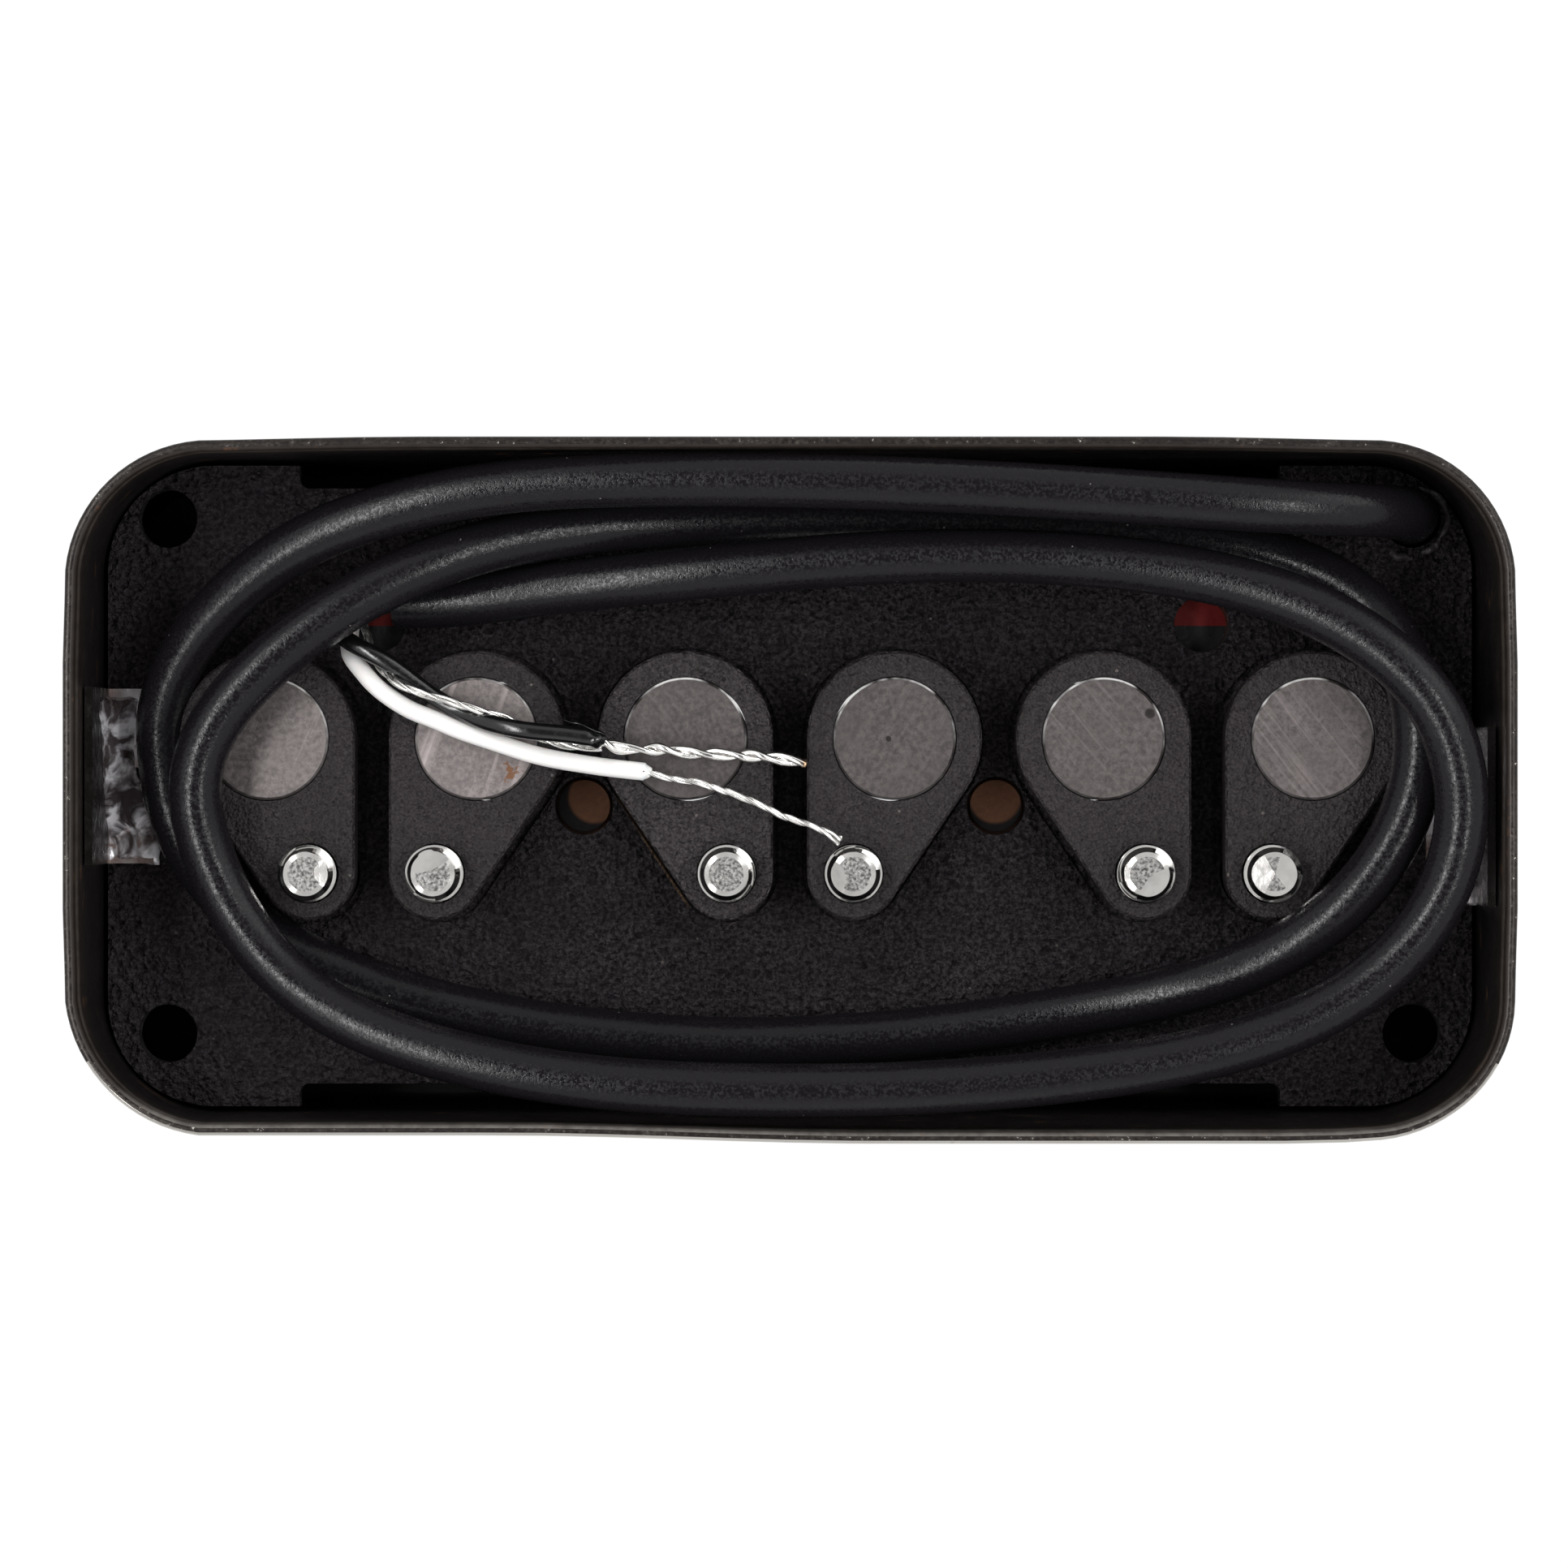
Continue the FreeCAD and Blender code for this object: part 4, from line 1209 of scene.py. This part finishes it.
def torn_edge(name, route, sizes, diameter, seed):
    """Ragged ridge of torn plastic along a short route."""
    ridge = make_mesh(cord_curve(name, route, diameter, 8, 4, sizes))
    for vertex in ridge.data.vertices:
        rough = Vector([ripple(vertex.co, 0.3 * MM, seed + axis) for axis in range(3)])
        vertex.co += rough * 0.07 * MM
    clean(ridge)
    return ridge


# Torn lip beside the cable's hole: angle round it, reach from its middle in mm, thickness
TORN_LIP = [(78, 1.62, 0.4), (62, 1.66, 0.8), (48, 1.7, 1.1), (34, 1.76, 1.5), (24, 1.74, 1.2),
            (8, 1.84, 0.6), (-2, 1.84, 1.2), (-14, 1.8, 1.0), (-26, 1.72, 1.2), (-34, 1.7, 0.5),
            (-47, 1.86, 1.1), (-60, 1.84, 1.3), (-74, 1.8, 0.5)]


class PICKUP_OT_base(bpy.types.Operator):
    """Finish of the leathery base plate, with the lip torn up beside the cable's hole"""

    bl_idname = "pickup.base"
    bl_label = "Base plate"

    def execute(self, context):
        settings = context.scene.pickup_plastic
        dress_nodes(black_plastic("leathery_black", settings.base_colour, 1700.0, 1.0, 0.34, 3.0,
                                  lit_left_end=True, wax=settings.wax_colour), "base_plate")
        top = box_of("base_plate")[1].z
        ridge, sizes = [], []
        for angle, reach, size in TORN_LIP:
            turn = math.radians(angle)
            ridge.append((31.4 * MM + reach * MM * math.cos(turn),
                          13.5 * MM + reach * MM * math.sin(turn), top + 0.02 * MM))
            sizes.append(size)
        lip = torn_edge("torn_lip", ridge, sizes, 0.3 * MM, 3)
        crumb = torn_edge("torn_crumb", [(0.0303, 0.0118, top), (0.0306, 0.0115, top + 0.1 * MM),
                                         (0.0310, 0.0116, top + 0.05 * MM), (0.0314, 0.0115, top)],
                          [0.9, 1.3, 1.1, 0.7], 0.36 * MM, 7)
        torn = join([lip, crumb])
        smooth(torn, 60)
        dress(torn, black_plastic("torn_black", paint(62, 58, 60), 3200.0, 0.03, 0.42, 1.6))
        finish_piece(torn, "housing", "black_base")
        return {"FINISHED"}


class PICKUP_OT_carriers(bpy.types.Operator):
    """Finish of the six teardrop carriers"""

    bl_idname = "pickup.carriers"
    bl_label = "Carriers"

    def execute(self, context):
        tint = context.scene.pickup_plastic.carrier_colour
        fibre = black_plastic("carrier_fibre", tint, 3400.0, 0.16, 0.4, 2.3)
        rough = black_plastic("rough_fibre", tint, 2600.0, 0.26, 0.34, 3.0, 0.3)
        for number in range(1, 7):
            dress_nodes(rough if number == 3 else fibre, "carrier_%d" % number)
        return {"FINISHED"}


class PICKUP_OT_bobbin(bpy.types.Operator):
    """Finish of the bobbin, the fibre flange and pins, and the coil"""

    bl_idname = "pickup.bobbin"
    bl_label = "Bobbin and coil"

    def execute(self, context):
        settings = context.scene.pickup_plastic
        face = box_of("fibre_pins")[1].z / MM
        lit = [((x, -0.56, face), 1.32) for x in (-9.88, 10.38)]
        black = black_plastic("bobbin_black", settings.bobbin_colour, 2600.0, 0.012, 0.4, 1.4)
        dress_nodes(black, "bobbin")
        dress_nodes(fibre_plate("brown_fibre", settings.fibre_colour), "fibre_flange")
        dress_nodes(fibre_plate("pin_fibre", settings.pin_colour, lit), "fibre_pins")
        dress_nodes(wound_tape("coil_tape", settings.tape_colour), "coil_winding", "coil_tape")
        return {"FINISHED"}


# Stage

def build_floor():
    """White for the camera and for reflections, a plain pale floor for all other light."""
    floor = start("floor", "plane", size=3, location=(0, 0, -0.02 * MM))
    material = bpy.data.materials.new("white_floor")
    material.use_nodes = True
    tree = Tree(material.node_tree)
    light = tree.add("ShaderNodeLightPath").outputs
    shown = tree.math("MAXIMUM", light["Is Camera Ray"],
                      tree.math("MAXIMUM", light["Is Glossy Ray"], light["Is Transmission Ray"]))
    faint = tree.add("ShaderNodeBsdfDiffuse", {"Color": (0.22, 0.22, 0.22, 1)}).outputs[0]
    glow = tree.add("ShaderNodeEmission", {"Color": (1, 1, 1, 1), "Strength": 0.8}).outputs[0]
    white = tree.add("ShaderNodeAddShader", {0: faint, 1: glow}).outputs[0]
    plain = tree.add("ShaderNodeBsdfDiffuse", {"Color": (0.8, 0.8, 0.8, 1)}).outputs[0]
    top = tree.add("ShaderNodeMixShader", {0: shown, 1: plain, 2: white}).outputs[0]
    behind = tree.add("ShaderNodeNewGeometry").outputs["Backfacing"]
    clear = tree.add("ShaderNodeBsdfTransparent").outputs[0]
    both = tree.add("ShaderNodeMixShader", {0: behind, 1: top, 2: clear}).outputs[0]
    tree.add("ShaderNodeOutputMaterial", {"Surface": both})
    dress(floor, material)


def build_world(settings):
    """White behind the object, dim overhead in reflections, plain light from all round."""
    world = bpy.data.worlds.new("studio")
    bpy.context.scene.world = world
    world.use_nodes = True
    tree = Tree(world.node_tree)
    light = tree.add("ShaderNodeLightPath").outputs
    direction = tree.add("ShaderNodeTexCoord").outputs["Generated"]
    x, y, z = [tree.axis(direction, name) for name in "XYZ"]
    mirrored = tree.remap(z, 0.76, 0.93, 0.85, 0.06)
    # Two round panels of light: azimuth, elevation and reach in degrees, strength
    for azimuth, elevation, reach, strength in ((40, 30, 20, 2.4), (-82, 26, 14, 1.2)):
        across, rise = math.radians(azimuth), math.radians(elevation)
        way = (math.cos(across) * math.cos(rise), math.sin(across) * math.cos(rise), math.sin(rise))
        panel = tree.remap(tree.measure("DOT_PRODUCT", direction, way),
                           math.cos(math.radians(reach + 4)), math.cos(math.radians(reach - 4)),
                           0, strength)
        mirrored = tree.math("MAXIMUM", mirrored, panel)
    # A tall strip of light on the left draws the thin gleam along the cable
    strip = tree.times(tree.remap(x, -0.36, -0.4), tree.remap(x, -0.56, -0.52))
    strip = tree.times(strip, tree.remap(tree.math("ABSOLUTE", y), 0.62, 0.5, 0,
                                         settings.strip_light))
    strip = tree.times(strip, tree.remap(z, 0, 0.2))
    mirrored = tree.math("MAXIMUM", mirrored, strip)
    plain, bright, white = [
        tree.add("ShaderNodeBackground", {"Color": (1, 1, 1, 1), "Strength": strength}).outputs[0]
        for strength in (settings.ambient, mirrored, 1.0)]
    unseen = tree.add("ShaderNodeMixShader", {0: light["Is Glossy Ray"], 1: plain,
                                              2: bright}).outputs[0]
    seen = tree.math("MAXIMUM", light["Is Camera Ray"], light["Is Transmission Ray"])
    both = tree.add("ShaderNodeMixShader", {0: seen, 1: unseen, 2: white}).outputs[0]
    tree.add("ShaderNodeOutputWorld", {"Surface": both})


class PICKUP_OT_stage(bpy.types.Operator):
    """Camera, white floor, two soft lamps and the light from all round"""

    bl_idname = "pickup.stage"
    bl_label = "Stage"

    def execute(self, context):
        settings = context.scene.pickup_stage
        context.scene.view_settings.view_transform = "Standard"
        bpy.ops.object.camera_add(location=(-0.3 * MM, 0.1 * MM, settings.camera_height))
        context.scene.camera = context.object
        camera = context.object.data
        camera.lens = settings.camera_lens
        camera.sensor_width = 36
        camera.clip_start = 0.01
        lean, reach = math.radians(26), 0.48
        for side in (-1, 1):
            bpy.ops.object.light_add(type="AREA", rotation=(0, side * lean, 0), location=(
                side * reach * math.sin(lean), 0, reach * math.cos(lean)))
            lamp = context.object.data
            lamp.shape = "RECTANGLE"
            lamp.size, lamp.size_y = 0.05, 0.3
            lamp.energy = settings.lamp_power
        build_floor()
        build_world(settings)
        return {"FINISHED"}


PIECES = (PICKUP_OT_stage, PICKUP_OT_cable, PICKUP_OT_wires, PICKUP_OT_springs, PICKUP_OT_screws,
          PICKUP_OT_solder, PICKUP_OT_cover, PICKUP_OT_magnets, PICKUP_OT_base, PICKUP_OT_carriers,
          PICKUP_OT_bobbin)


class PICKUP_PT_panel(bpy.types.Panel):
    """Lists the pieces of the pickup and their settings"""

    bl_idname = "PICKUP_PT_panel"
    bl_label = "Guitar Pickup"
    bl_space_type = "VIEW_3D"
    bl_region_type = "UI"
    bl_category = "Pickup"

    def draw(self, context):
        layout = self.layout
        for piece in PIECES:
            layout.operator(piece.bl_idname)
        for settings in (context.scene.pickup_cable, context.scene.pickup_metal,
                         context.scene.pickup_plastic, context.scene.pickup_stage):
            box = layout.box()
            for name in settings.__annotations__:
                box.prop(settings, name)


SETTINGS = {"pickup_cable": PickupCableSettings, "pickup_metal": PickupMetalSettings,
            "pickup_plastic": PickupPlasticSettings, "pickup_stage": PickupStageSettings}


def register():
    for kind in (*SETTINGS.values(), *PIECES, PICKUP_PT_panel):
        bpy.utils.register_class(kind)
    for name, kind in SETTINGS.items():
        setattr(bpy.types.Scene, name, PointerProperty(type=kind))


def unregister():
    for name in SETTINGS:
        delattr(bpy.types.Scene, name)
    for kind in reversed((*SETTINGS.values(), *PIECES, PICKUP_PT_panel)):
        bpy.utils.unregister_class(kind)


def main():
    register()
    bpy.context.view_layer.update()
    build_grain_group()
    build_specks_group()
    build_grind_group()
    for piece in PIECES:
        family, name = piece.bl_idname.split(".")
        getattr(getattr(bpy.ops, family), name)()


if __name__ == "__main__":
    main()
